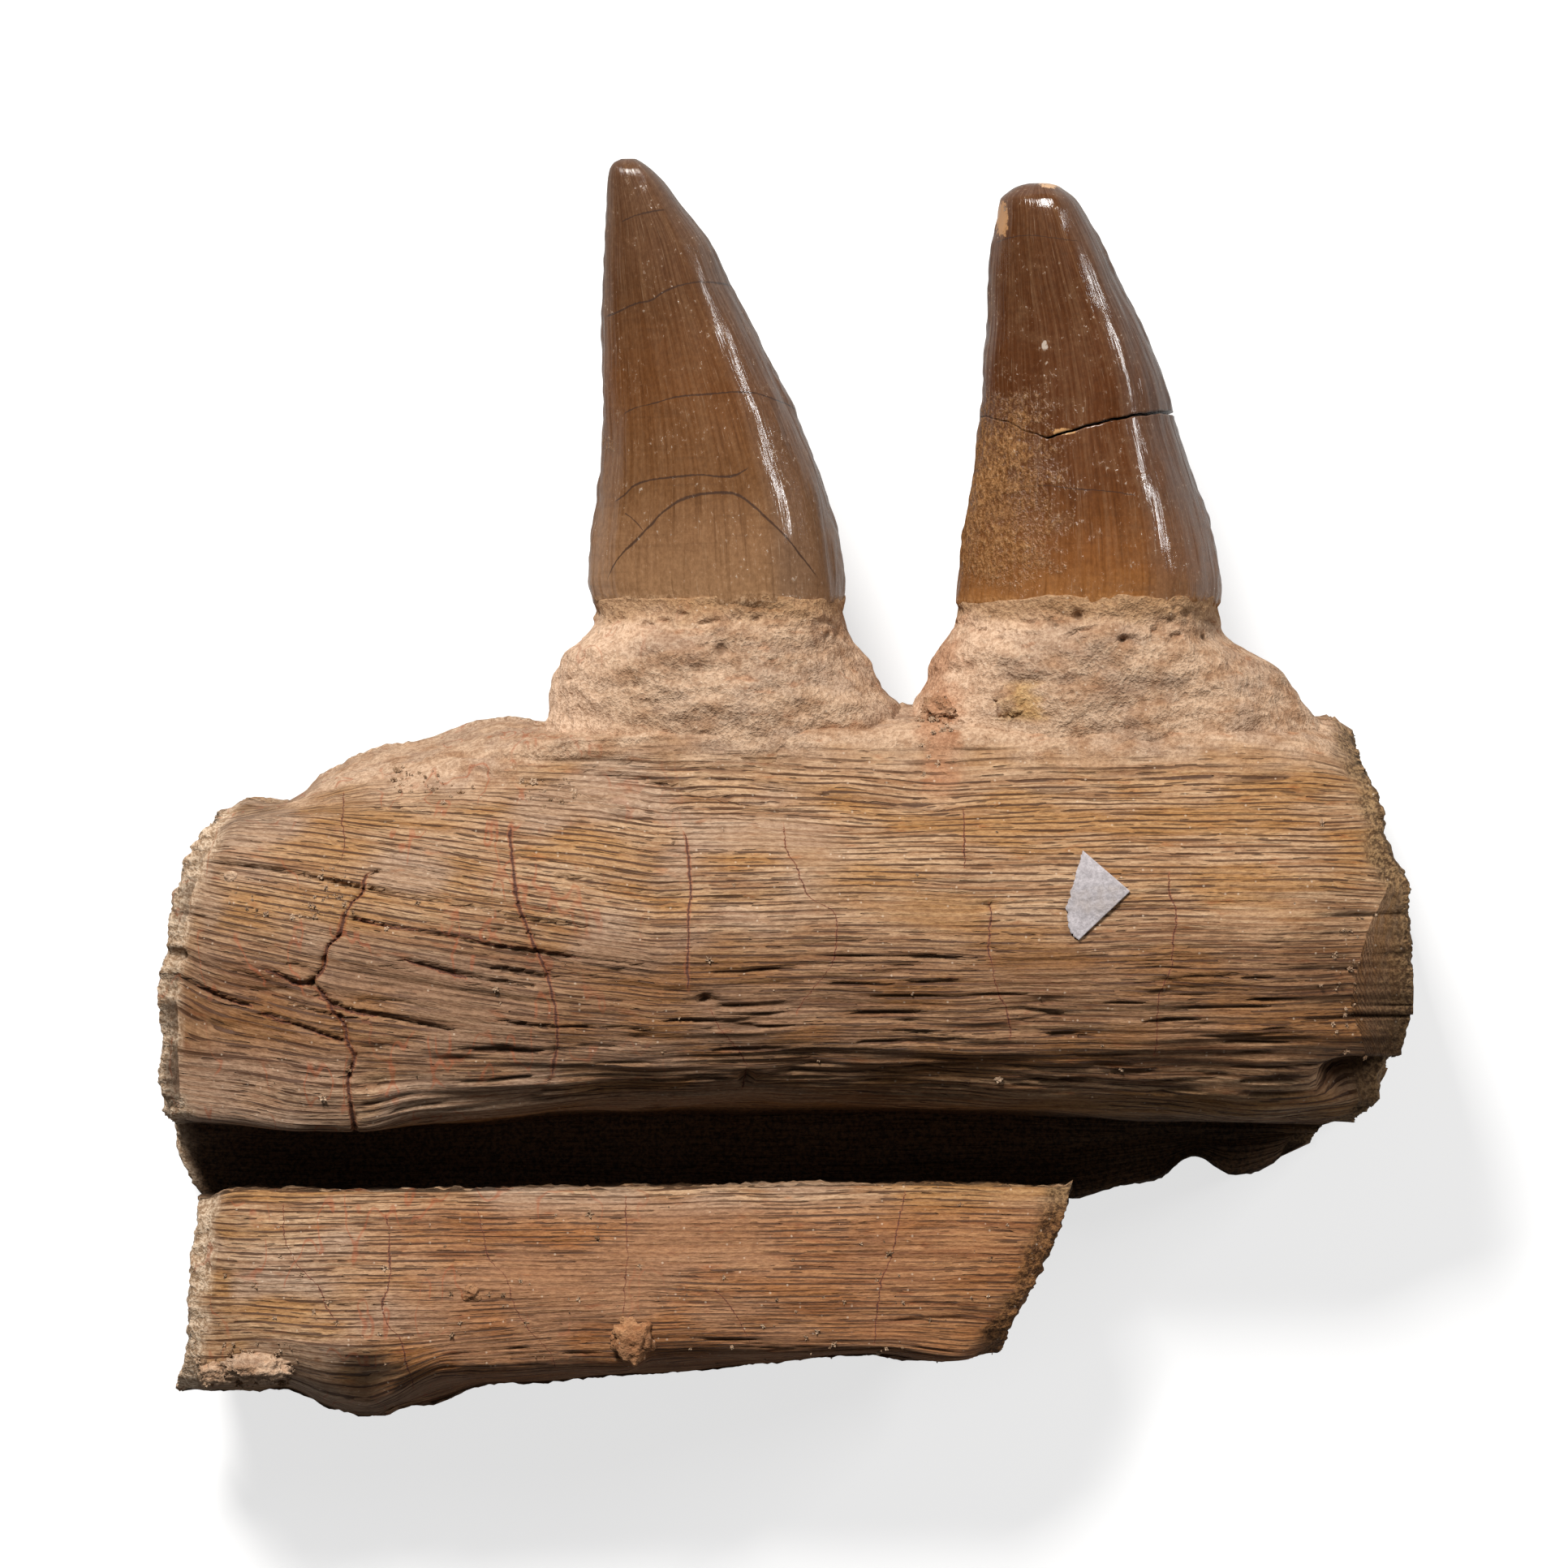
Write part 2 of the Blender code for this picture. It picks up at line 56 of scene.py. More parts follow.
# Helpers: curves, noise and closed meshes

# A smooth curve through values at the stops, with no overshoot: cubic pieces whose slope at a
# stop is the harmonic mean of its neighbours' slopes, or 0 at a turn
def through(stops, values, at):
    stops, values = np.array(stops, float), np.array(values, float)
    wide = [-1] + [1] * (values.ndim - 1)
    run = np.diff(stops).reshape(wide)
    rise = np.diff(values, axis=0) / run
    same = rise[:-1] * rise[1:] > 0
    bend = np.where(same, 2 * rise[:-1] * rise[1:] / np.where(same, rise[:-1] + rise[1:], 1), 0)
    slope = np.concatenate([rise[:1], bend, rise[-1:]])
    i = np.clip(np.searchsorted(stops, at) - 1, 0, len(run) - 1)
    t = (at - stops[i]).reshape(wide) / run[i]
    return (values[i] * (1 + 2 * t) * (1 - t) ** 2 + run[i] * slope[i] * t * (1 - t) ** 2
            + values[i + 1] * t * t * (3 - 2 * t) + run[i] * slope[i + 1] * t * t * (t - 1))

# 0 below low, 1 above high, and a smooth step between them
def ease(low, high, x):
    t = np.clip((x - low) / (high - low), 0, 1)
    return t * t * (3 - 2 * t)

# Gradient noise, about -1 to 1: every corner of the unit cell round a point pulls it with a
# slope taken from a hash of the corner, and the eight pulls are blended with a quintic
def noise(p, size, seed=0):
    q = (p / np.array(size, float)).reshape(-1, 3)
    cell = np.floor(q).astype(np.int64)
    part = q - cell
    fade = part ** 3 * (part * (part * 6 - 15) + 10)
    total = np.zeros(len(q))
    for corner in np.ndindex(2, 2, 2):
        c = cell + corner
        h = (c[:, 0] * 374761393 + c[:, 1] * 668265263 + c[:, 2] * 2147483647 + seed * 974634777)
        h = ((h & 0xFFFFFFFF) ^ ((h & 0xFFFFFFFF) >> 13)) * 1274126177 & 0xFFFFFFFF
        h ^= h >> 16
        slope = np.stack([h & 1023, h >> 10 & 1023, h >> 20 & 1023], 1) / 511.5 - 1
        weight = np.where(corner, fade, 1 - fade).prod(1)
        total += weight * ((part - corner) * slope).sum(1)
    return 1.6 * total.reshape(p.shape[:-1])

# Noise added up at sizes that halve, each with half the height of the last
def rough(p, size, octaves, seed=0):
    return sum(noise(p, np.array(size) / 2 ** k, seed + k) / 2 ** k for k in range(octaves))

# The distance in x and y from each point to a line through stops
def lineDistance(p, stops):
    nearest = np.full(p.shape[:-1], 99.0)
    for a, b in zip(np.array(stops[:-1], float), np.array(stops[1:], float)):
        way = b - a
        t = np.clip(((p[..., :2] - a) @ way) / (way @ way), 0, 1)
        nearest = np.minimum(nearest, np.linalg.norm(p[..., :2] - a - t[..., None] * way, axis=-1))
    return nearest

# Vectors over their own lengths
def unit(vectors):
    return vectors / np.maximum(np.linalg.norm(vectors, axis=-1, keepdims=True), 1e-9)

# Unit normals of a grid of points: the cross product of its two directions
def gridNormals(grid):
    return unit(np.cross(np.gradient(grid, axis=0), np.gradient(grid, axis=1)))

# A new object in the scene
def placed(name, data):
    thing = bpy.data.objects.new(name, data)
    bpy.context.scene.collection.objects.link(thing)
    return thing

# A mesh object from points in mm and quads or triangles, with values stored on its points. Points
# are kept inside the solid's box
def pieceFrom(name, points, faces, values, look, node):
    mesh = bpy.data.meshes.new(name)
    low, high = np.array(cadBox)
    mesh.from_pydata(np.clip(points * mm, low, high).tolist(), [], faces)
    mesh.shade_smooth()
    for key, data in values.items():
        kind, field = ("FLOAT_VECTOR", "vector") if data.ndim == 2 else ("FLOAT", "value")
        onPoints = mesh.attributes.new(key, kind, "POINT")
        onPoints.data.foreach_set(field, data.astype(np.float32).ravel())
    mesh.materials.append(look)
    piece = placed(name, mesh)
    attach(piece, "root")
    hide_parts(*node)
    print(name, len(points), "points")
    return piece

# The outside of a block of points [column, row, depth]: the points, and quads that face outwards
def blockShell(block):
    inside = np.zeros(block.shape[:3], bool)
    inside[1:-1, 1:-1, 1:-1] = True
    index = np.full(inside.shape, -1)
    index[~inside] = np.arange((~inside).sum())
    quads = []
    for axis in range(3):
        for side in (0, -1):
            face = np.take(index, side, axis)
            quad = np.stack([face[:-1, :-1], face[1:, :-1], face[1:, 1:], face[:-1, 1:]], -1)
            quads.append(quad.reshape(-1, 4)[:, ::-1 if (side == 0) != (axis == 1) else 1])
    return block[~inside], np.concatenate(quads).tolist(), ~inside

# A closed tube through rings [ring, turn] that run towards +Y, with a point closing each end
def tubeShell(rings):
    count, around = rings.shape[:2]
    index = np.arange(count * around).reshape(count, around)
    following = np.roll(index, -1, axis=1)
    quad = np.stack([index[:-1], index[1:], following[1:], following[:-1]], -1).reshape(-1, 4)
    points = np.concatenate([rings.reshape(-1, 3), [rings[0].mean(0)], [rings[-1].mean(0)]])
    low, high = count * around, count * around + 1
    start = [[low, a, b] for a, b in zip(index[0], following[0])]
    end = [[high, b, a] for a, b in zip(index[-1], following[-1])]
    return points, quad.tolist() + start + end

# Rings that shrink from the edge ring to its middle, with a rough surface between them
def capRings(edge, steps, height, size, seed):
    middle = edge.mean(0)
    share = np.linspace(1, 0, steps + 2)[1:-1, None, None]
    rings = middle + (edge - middle) * share
    rings[..., 1] += height * rough(rings, size, 3, seed) * np.minimum((1 - share[..., 0]) * 4, 1)
    return rings

# Shared places along the jaw: where the grain dips, and the relief of layered bone

grainFlow = {"slope": 0.13, "dipEnds": -14, "fadeTop": -16, "fadeBottom": -40, "topFrom": 4,
             "topTo": -10, "waveHeights": (0.5, 0.35), "wavePitches": (5.6, 9.1), "solidSlope": 0.26,
             "solidEnd": -12}

# How far the fibres have sunk at a point: they slope down to the right at the left end, less so
# at the top and at the bottom, and wander a little everywhere
def grainDip(p):
    g = grainFlow
    dip = g["slope"] * np.minimum(p[..., 0] - g["dipEnds"], 0)
    dip = dip * ease(g["fadeBottom"], g["fadeTop"], p[..., 1])
    dip = dip * (0.6 + 0.4 * ease(g["topFrom"], g["topTo"], p[..., 1]))
    return dip + 0.3 * noise(p, (40, 16, 16), 5)

# Where a point lies in the grain (along, across, deep)
def grainPlace(p):
    return np.stack([p[..., 0], p[..., 1] + grainDip(p), p[..., 2]], -1)

# The same on a sheet [column, row], with the path over its rows as the way across, so that
# fibres keep their width and direction where the sheet slopes
def grainOnSheet(sheet):
    steps = np.linalg.norm(np.diff(sheet[..., 1:], axis=1), axis=2).mean(0)
    path = sheet[:, 0, 1].mean() - np.concatenate([[0], np.cumsum(steps)])
    flat = sheet * [1, 1, 0]
    across = path + grainDip(flat) + 0.2 * noise(flat, (12, 5, 5), 6)
    return np.stack([sheet[..., 0], across, np.zeros_like(across)], -1)

# The broad ridges that the solid has too
def broadRidges(p):
    g = grainFlow
    across = p[..., 1] + g["solidSlope"] * np.minimum(p[..., 0] - g["solidEnd"], 0)
    across = across + 0.8 * np.sin(p[..., 0] / 13)
    return sum(h * np.sin(2 * math.pi * across / w + p[..., 0] / 40 + k)
               for k, (h, w) in enumerate(zip(g["waveHeights"], g["wavePitches"])))

# Fibres: long thin noise at three widths, less the deep slots where layers have split.
# Returns the height in mm and how deep in a slot or between fibres each point is, 0 to 1
def fibres(g, strength):
    wide = noise(g, (30, 2.6, 2.6), 11)
    middle = noise(g, (15, 1.2, 1.2), 12)
    narrow = noise(g, (9, 0.75, 0.75), 13)
    slots = ease(0.46, 0.58, noise(g, (12, 0.75, 0.75), 14)) * (0.75 + 0.5 * noise(g, (5, 3, 3), 15))
    thin = ease(0.2, 0.03, np.abs(noise(g, (14, 1.3, 1.3), 16)))
    thin = thin * ease(0.0, 0.4, noise(g, (8, 3, 3), 17))
    height = strength * (0.12 * wide + 0.14 * middle + 0.13 * narrow - 0.5 * slots - 0.25 * thin)
    hollow = strength * (1.15 * slots + 0.5 * thin - 0.2 * narrow - 0.15 * middle - 0.1)
    return height, np.clip(hollow, 0, 1)

# Broken spongy bone: lumps with sharp hollows between them
def spongy(p, seed):
    cells = 1 - 2 * np.abs(noise(p, 2.2, seed))
    return (0.55 * noise(p, 5, seed + 1) + 0.35 * cells + 0.4 * noise(p, 1, seed + 2)
            + 0.2 * noise(p, 0.5, seed + 3))

# Materials

# Gives a node its inputs: another node's socket is linked and anything else is set
def give(node, values):
    for key, value in values.items():
        if isinstance(value, bpy.types.NodeSocket):
            node.id_data.links.new(value, node.inputs[key])
        else:
            node.inputs[key].default_value = value
    return node

# A new node, in the tree of the first socket among its inputs where no tree is given
def add(kind, values, tree=None, **settings):
    tree = tree or next(v.id_data for v in values.values() if isinstance(v, bpy.types.NodeSocket))
    made = tree.nodes.new("ShaderNode" + kind)
    for key, value in settings.items():
        setattr(made, key, value)
    return give(made, values)

# One of the math node's operations on sockets or numbers
def maths(operation, *values, clamp=False):
    return add("Math", dict(enumerate(values)), operation=operation, use_clamp=clamp).outputs[0]

# The product of two values
def times(a, b):
    return maths("MULTIPLY", a, b)

# A value times a factor, plus an offset
def scaled(value, factor, offset, clamp=False):
    return maths("MULTIPLY_ADD", value, factor, offset, clamp=clamp)

# A smooth step of a value from 0 at low to 1 at high; low may be above high
def step(value, low, high):
    return add("MapRange", {"Value": value, "From Min": low, "From Max": high},
               interpolation_type="SMOOTHSTEP").outputs["Result"]

# 1 between two steps of a value and 0 outside them
def between(value, rise, fall):
    return times(step(value, *rise), step(value, *fall))

# A shade of red, green and blue as an opaque colour
def colour(r, g, b):
    return (r, g, b, 1)

# Two colours, each a socket or a shade, blended by a share
def mix(share, a, b, blend="MIX"):
    a, b = (colour(*c) if isinstance(c, tuple) else c for c in (a, b))
    return add("Mix", {"Factor": share, 6: a, 7: b}, data_type="RGBA", blend_type=blend).outputs[2]

# A tone with a shade blended in, by a share that an amount scales down
def tint(tone, share, shade, amount=None, blend="MIX"):
    return mix(share if amount is None else times(share, amount), tone, shade, blend)

# Noise, 0 to 1, whose grains have these sizes in the place's own unit
def noiseAt(place, sizes, detail=2.0, strength=0.55):
    where = add("VectorMath", {0: place, 1: [1 / s for s in sizes]}, operation="MULTIPLY").outputs[0]
    return add("TexNoise", {"Vector": where, "Scale": 1.0, "Detail": detail,
                            "Roughness": strength}).outputs["Fac"]

# The parts x, y and z of a vector
def split(vector):
    return add("SeparateXYZ", {0: vector}).outputs

# A value that pieceFrom stored on the points
def stored(tree, name, kind="Fac"):
    return add("Attribute", {}, tree, attribute_name=name).outputs[kind]

# The object's own coordinates in mm
def inMm(tree):
    place = add("TexCoord", {}, tree).outputs["Object"]
    return add("VectorMath", {0: place, "Scale": 1 / mm}, operation="SCALE").outputs[0]

# The normal of a surface with a relief whose height is in mm
def relief(height):
    return add("Bump", {"Strength": 1.0, "Distance": mm, "Height": height}).outputs[0]

# A new material, its node tree and its shader
def newLook(name):
    look = bpy.data.materials.new(name)
    look.use_nodes = True
    tree = look.node_tree
    return look, tree, tree.nodes["Principled BSDF"]

# A node group of plain numbers, the sockets that it is given and its output node
def newGroup(name, inputs, outputs):
    group = bpy.data.node_groups.new(name, "ShaderNodeTree")
    for way, titles in (("INPUT", inputs), ("OUTPUT", outputs)):
        for title in titles:
            group.interface.new_socket(title, in_out=way, socket_type="NodeSocketFloat")
    return group, group.nodes.new("NodeGroupInput").outputs, group.nodes.new("NodeGroupOutput")

# The outputs of a node that runs a group on these values
def use(group, values):
    return add("Group", values, node_tree=group).outputs

# A crack: 1 on its line and 0 beyond its width, fading at both ends. Ragged moves the line
# aside, in mm, and Swell is a factor on its width
def makeCrackLine():
    group, given, out = newGroup("crackLine", ["Off", "Along", "Width", "Ragged", "Swell"], ["Line"])
    off = maths("ABSOLUTE", maths("ADD", given["Off"], given["Ragged"]))
    away = maths("DIVIDE", off, times(given["Width"], given["Swell"]))
    line = maths("SUBTRACT", 1.0, away, clamp=True)
    give(out, {"Line": times(line, between(given["Along"], (-0.01, 0.05), (1.01, 0.95)))})
    return group

# What all cracks of a material share: how far aside they run, in mm, and how wide they swell,
# both from a fine noise and a broad one
def makeCrackEdge():
    group, given, out = newGroup("crackEdge", ["Small", "Large", "Reach"], ["Ragged", "Swell"])
    aside = maths("ADD", scaled(given["Small"], 1.0, -0.5), scaled(given["Large"], 1.4, -0.7))
    swell = maths("MAXIMUM", scaled(given["Large"], 2.6, -0.3), 0.2)
    give(out, {"Ragged": times(aside, given["Reach"]), "Swell": swell})
    return group

crackGroup = makeCrackLine()
crackEdgeGroup = makeCrackEdge()

# One crack as a curve: the coordinate off its line as a function of the one along it
def crackMask(axes, edge, way, stops, width):
    along, off = (axes[1], axes[0]) if way == "up" else (axes[0], axes[1])
    path = sorted((p[1], p[0]) if way == "up" else p for p in stops)
    start, end = path[0][0], path[-1][0]
    lowest = min(p[1] for p in path) - 1
    reach = max(p[1] for p in path) + 1 - lowest
    share = maths("DIVIDE", maths("SUBTRACT", along, start), end - start)
    curve = add("FloatCurve", {"Value": share})
    line = curve.mapping.curves[0]
    line.points[0].location = (0, (path[0][1] - lowest) / reach)
    line.points[1].location = (1, (path[-1][1] - lowest) / reach)
    for a, b in path[1:-1]:
        line.points.new((a - start) / (end - start), (b - lowest) / reach)
    curve.mapping.update()
    middle = scaled(curve.outputs[0], reach, lowest)
    return use(crackGroup, {"Off": maths("SUBTRACT", off, middle), "Along": share, "Width": width,
                            "Ragged": edge["Ragged"], "Swell": edge["Swell"]})["Line"]

# The darkest of many cracks (way, width, stops)
def allCracks(axes, edge, lines):
    masks = [crackMask(axes, edge, way, stops, width) for way, width, stops in lines]
    total = masks[0]
    for mask in masks[1:]:
        total = maths("MAXIMUM", total, mask)
    return total

# Places read on the photograph are turned to mm: its pixels are 0.09 mm across
photo = {"pixel": 0.09, "middleX": 965, "middleY": 973.5}

# Pixels of the photograph as (x, y) in mm
def spots(*pixels):
    p = photo
    return [((x - p["middleX"]) * p["pixel"], (p["middleY"] - y) * p["pixel"]) for x, y in pixels]

# The bone's cracks (half width in mm, line), by the way they run
boneCracks = {
    "up": [
        (0.14, spots((425, 975), (425, 1010), (427, 1045), (418, 1065))),
        (0.4, spots((470, 1072), (455, 1078), (450, 1100), (437, 1112), (430, 1125), (424, 1150),
                     (408, 1165), (403, 1190), (388, 1208))),
        (0.42, spots((388, 1212), (405, 1225), (415, 1245), (428, 1260), (432, 1280), (440, 1300),
                    (432, 1330), (434, 1350), (438, 1375), (440, 1392))),
        (0.36, spots((632, 1010), (632, 1040), (637, 1080), (642, 1110), (652, 1140), (662, 1165),
                     (675, 1195), (683, 1225), (688, 1260), (687, 1290), (680, 1330))),
        (0.26, spots((841, 1022), (847, 1039), (851, 1066), (852, 1092), (850, 1125), (849, 1158),
                     (849, 1221))),
        (0.12, spots((877, 1241), (885, 1261), (905, 1284), (917, 1304), (915, 1341))),
        (0.12, spots((965, 1012), (970, 1046), (981, 1066), (988, 1085), (998, 1105), (1028, 1125),
                    (1030, 1158), (1028, 1178), (1015, 1198), (998, 1221), (985, 1238), (981, 1251))),
        (0.12, spots((1185, 995), (1187, 1030), (1185, 1070))),
        (0.14, spots((1215, 1108), (1219, 1129), (1217, 1150), (1221, 1197), (1229, 1222),
                     (1242, 1256), (1242, 1281))),
        (0.14, spots((1436, 1070), (1438, 1104), (1444, 1121), (1442, 1155), (1438, 1188),
                     (1431, 1209), (1423, 1230), (1422, 1264), (1419, 1302))),
        (0.1, spots((350, 1480), (352, 1520), (360, 1545), (380, 1570), (395, 1585), (405, 1610),
                    (420, 1630))),
        (0.14, spots((475, 1490), (480, 1520), (482, 1560), (478, 1590), (472, 1610), (478, 1630),
                    (495, 1650), (505, 1690), (510, 1715))),
        (0.1, spots((588, 1485), (597, 1520), (605, 1550), (625, 1575), (632, 1600), (645, 1625),
                     (655, 1640), (680, 1670), (687, 1690))),
        (0.1, spots((770, 1470), (773, 1520), (770, 1590), (768, 1620))),
        (0.14, spots((1115, 1465), (1108, 1500), (1100, 1540), (1087, 1575), (1080, 1620),
                     (1077, 1658))),
    ],
    "along": [
        (0.25, spots((245, 1213), (270, 1225), (300, 1235), (317, 1238))),
        (0.25, spots((330, 1193), (350, 1200), (370, 1210), (388, 1210))),
        (0.2, spots((395, 1225), (430, 1242), (470, 1250))),
        (0.2, spots((325, 1245), (380, 1265), (425, 1280))),
        (0.2, spots((440, 1130), (480, 1140), (520, 1145))),
        (0.2, spots((500, 1180), (550, 1195), (580, 1203))),
        (0.15, spots((560, 1145), (600, 1160), (650, 1166), (720, 1180))),
        (0.15, spots((880, 1585), (905, 1615), (918, 1640), (925, 1655))),
    ],
}

# The bone's look: pale fibres over brown in thin layers, slits between the layers, ochre, grey
# and rusty stains, pores near the teeth, with cracks drawn where the photograph has them; painted
# shade darkens the slits, pores, hollows, the canal and the bar's lower half, and painted light
# brightens the pedestals' left flanks
def makeBoneLook():
    look, tree, shader = newLook("fossilBone")
    hollow, porous, broken, canalShade, litFlank = (stored(tree, key) for key in
                                           ("hollow", "porous", "broken", "canalShade", "litFlank"))
    grain, place = stored(tree, "grain", "Vector"), inMm(tree)
    across, axes = split(grain)[1], split(place)
    spongyShare = maths("MAXIMUM", porous, broken)
    solidBone = maths("SUBTRACT", 1.0, spongyShare, clamp=True)

    # thin layers overlap like boards: a saw wave across the grain, moved aside by noise; slits
    # open under their edges where another noise is high, and taper to both ends
    bands = noiseAt(grain, (16, 1.0, 1.0))
    hairs = noiseAt(grain, (7, 0.32, 0.32))
    wander = noiseAt(grain, (34, 4, 4), 1.0)
    layers = maths("FRACT", scaled(wander, 1.4, maths("DIVIDE", across, 0.82)))
    leaves = maths("PINGPONG", scaled(wander, 2.0, across), 0.24)
    wide = step(noiseAt(grain, (5, 0.7, 0.7), 1.0), 0.37, 0.55)
    slits = step(scaled(wide, 0.28, layers), 1.0, 1.07)
    thin = step(noiseAt(grain, (2.8, 0.45, 0.45), 1.0), 0.48, 0.62)
    narrow = step(maths("SUBTRACT", times(thin, 0.08), leaves), 0.0, 0.04)
    patches = noiseAt(place, (14, 8, 8), 1.0)
    slits = times(maths("MAXIMUM", slits, times(narrow, 0.8)), solidBone)
    slits = times(slits, step(patches, 0.68, 0.5))

    tone = mix(step(bands, 0.38, 0.6), (0.26, 0.132, 0.06), (0.42, 0.265, 0.152))
    tone = tint(tone, step(hairs, 0.45, 0.66), (0.54, 0.375, 0.235), 0.5)
    stains = noiseAt(grain, (20, 6, 6))
    tone = tint(tone, step(stains, 0.45, 0.6), (0.34, 0.165, 0.042), 0.62)
    greyPink = times(step(patches, 0.45, 0.58), step(axes[0], 25, -15))   # mostly at the left
    tone = tint(tone, greyPink, (0.40, 0.29, 0.22), 0.6)
    rust = step(noiseAt(grain, (5, 1.5, 1.5), 2.0, 0.7), 0.6, 0.74)
    tone = tint(tone, rust, (0.30, 0.10, 0.025), 0.55)
    # painted shade: the bar's lower half is darkened where its surface turns down, away from the light
    paintedShade = between(axes[1], (-12, -20), (-36, -29))                   # the bar's lower half
    tone = tint(tone, paintedShade, (0.64, 0.55, 0.47), blend="MULTIPLY")
    block = times(step(axes[0], -44, -50), between(axes[1], (-26, -31), (-45, -41)))
    tone = tint(tone, block, (0.37, 0.235, 0.158), 0.6)                 # a smooth block, lower left

    cream = noiseAt(place, (4, 3, 4), 2.0, 0.65)
    greyed = step(noiseAt(place, (6, 3.5, 6), 2.0, 0.6), 0.48, 0.62)
    spongyTone = mix(step(cream, 0.32, 0.6), (0.35, 0.205, 0.12), (0.53, 0.37, 0.255))
    spongyTone = tint(spongyTone, greyed, (0.34, 0.24, 0.18), 0.45)
    spongyTone = tint(spongyTone, rust, (0.38, 0.17, 0.08), 0.5)
    # painted light: the pedestals' left flanks are paler, as if lit from the left
    spongyTone = tint(spongyTone, litFlank, (0.70, 0.50, 0.36), 0.8)
    tone = mix(times(porous, 0.9), tone, spongyTone)
    ragged = scaled(cream, 7.0, -3.5)
    sideways = maths("ADD", axes[0], ragged)
    # rust between the pedestals, a yellow spot on the right one, and brown under the enamel
    notch = step(maths("ABSOLUTE", maths("SUBTRACT", sideways, 17.3)), 3.2, 0.8)
    tone = tint(tone, times(notch, step(axes[1], -3, 2)), (0.38, 0.17, 0.08), 0.6)
    yellow = step(maths("ABSOLUTE", maths("SUBTRACT", sideways, 26.5)), 3, 1)
    yellow = times(yellow, between(axes[1], (7.2, 8.4), (12.5, 11.2)))
    tone = tint(tone, yellow, (0.47, 0.28, 0.09), 0.6)
    collar = step(scaled(ragged, 0.6, axes[1]), 17.6, 20.4)
    tone = tint(tone, collar, (0.33, 0.18, 0.075), 0.7)

    grit = noiseAt(place, (0.5, 0.5, 0.5), 2.0, 0.7)
    crumb = step(grit, 0.34, 0.64)
    paleEnd = mix(crumb, (0.40, 0.28, 0.18), (0.64, 0.50, 0.37))
    oliveEnd = mix(crumb, (0.07, 0.04, 0.017), (0.25, 0.155, 0.075))
    endTone = mix(step(axes[0], -20, 20), paleEnd, oliveEnd)
    tone = mix(times(broken, 0.9), tone, endTone)
    warmer = times(step(axes[1], -44, -48), step(sideways, -54, -34))
    tone = tint(tone, warmer, (0.80, 0.60, 0.43), blend="MULTIPLY")

    dust = noiseAt(grain, (0.9, 0.26, 0.26), 2.0, 0.75)
    dust = scaled(spongyShare, maths("SUBTRACT", grit, dust), dust)
    dusty = mix(step(dust, 0.34, 0.66), (0.70, 0.63, 0.57), (1.05, 1.04, 1.02))
    tone = mix(1.0, tone, dusty, "MULTIPLY")
    # painted shade on each layer towards the edge of the layer above it, where a shadow would fall
    plateShade = times(step(layers, 0.45, 0.95), solidBone)
    tone = tint(tone, plateShade, (0.80, 0.73, 0.66), blend="MULTIPLY")
    # painted shade: hollows between fibres, slots, dents, carved cracks, pedestal pores and faces that
    # look down are darkened
    tone = tint(tone, step(hollow, 0.3, 0.9), (0.09, 0.042, 0.018), 0.65)
    # painted shade: the slits under the layers' edges are near-black
    tone = tint(tone, slits, (0.06, 0.022, 0.007), 0.9)
    veinField = maths("ABSOLUTE", maths("SUBTRACT", noiseAt(place, (6, 14, 9), 2.0, 0.7), 0.5))
    veins = times(step(veinField, 0.016, 0.003), step(stains, 0.54, 0.44))
    veins = times(veins, step(axes[0], 0, -34))
    tone = tint(tone, veins, (0.30, 0.075, 0.025), 0.5)

    # one set of cells gives the pores and, in a few cells, pale grains
    cells = add("TexVoronoi", {"Vector": place, "Scale": 2.1, "Randomness": 1.0}).outputs
    away, kind = cells["Distance"], add("SeparateColor", {0: cells["Color"]}).outputs[0]
    many = step(noiseAt(place, (3, 1.8, 3), 1.0), 0.5, 0.72)
    pits = times(step(scaled(many, -0.36, away), 0.1, -0.14), spongyShare)
    specks = times(step(away, 0.34, 0.2), step(kind, 0.94, 0.97))
    # painted shade: the pores are dark spots, the shade inside them
    tone = tint(tone, pits, (0.17, 0.09, 0.045), 0.6)
    tone = tint(tone, specks, (0.66, 0.52, 0.39), 0.4)
    # painted shade: the canal, under the overhanging bar, is coloured near-black
    tone = tint(tone, canalShade, mix(crumb, (0.02, 0.01, 0.005), (0.12, 0.06, 0.026)), 0.93)

    edge = use(crackEdgeGroup, {"Small": grit, "Large": cream, "Reach": 0.55})
    cracks = allCracks(axes, edge, [(way, *line) for way, lines in boneCracks.items() for line in lines])
    cracks = times(cracks, step(axes[2], 9, 12))
    halo = step(cracks, 0.0, 0.4)
    tone = tint(tone, halo, (0.30, 0.085, 0.03), 0.45)
    tone = tint(tone, step(cracks, 0.35, 0.8), (0.05, 0.014, 0.008), 0.85)

    ridges = scaled(layers, -0.3, times(hairs, 0.26))
    height = times(scaled(slits, -0.36, ridges), solidBone)
    height = scaled(dust, scaled(spongyShare, 0.22, 0.11), height)
    dull = scaled(spongyShare, 0.2, scaled(bands, -0.18, 0.76), clamp=True)
    give(shader, {"Base Color": tone, "Normal": relief(height), "Roughness": dull,
                  "Specular IOR Level": 0.3})
    return look

boneLook = makeBoneLook()
print("bone material made")

# The bar that carries the teeth, the outer wall behind the canal, and the flange: slabs between
# an inner sheet through feature lines and the outer side

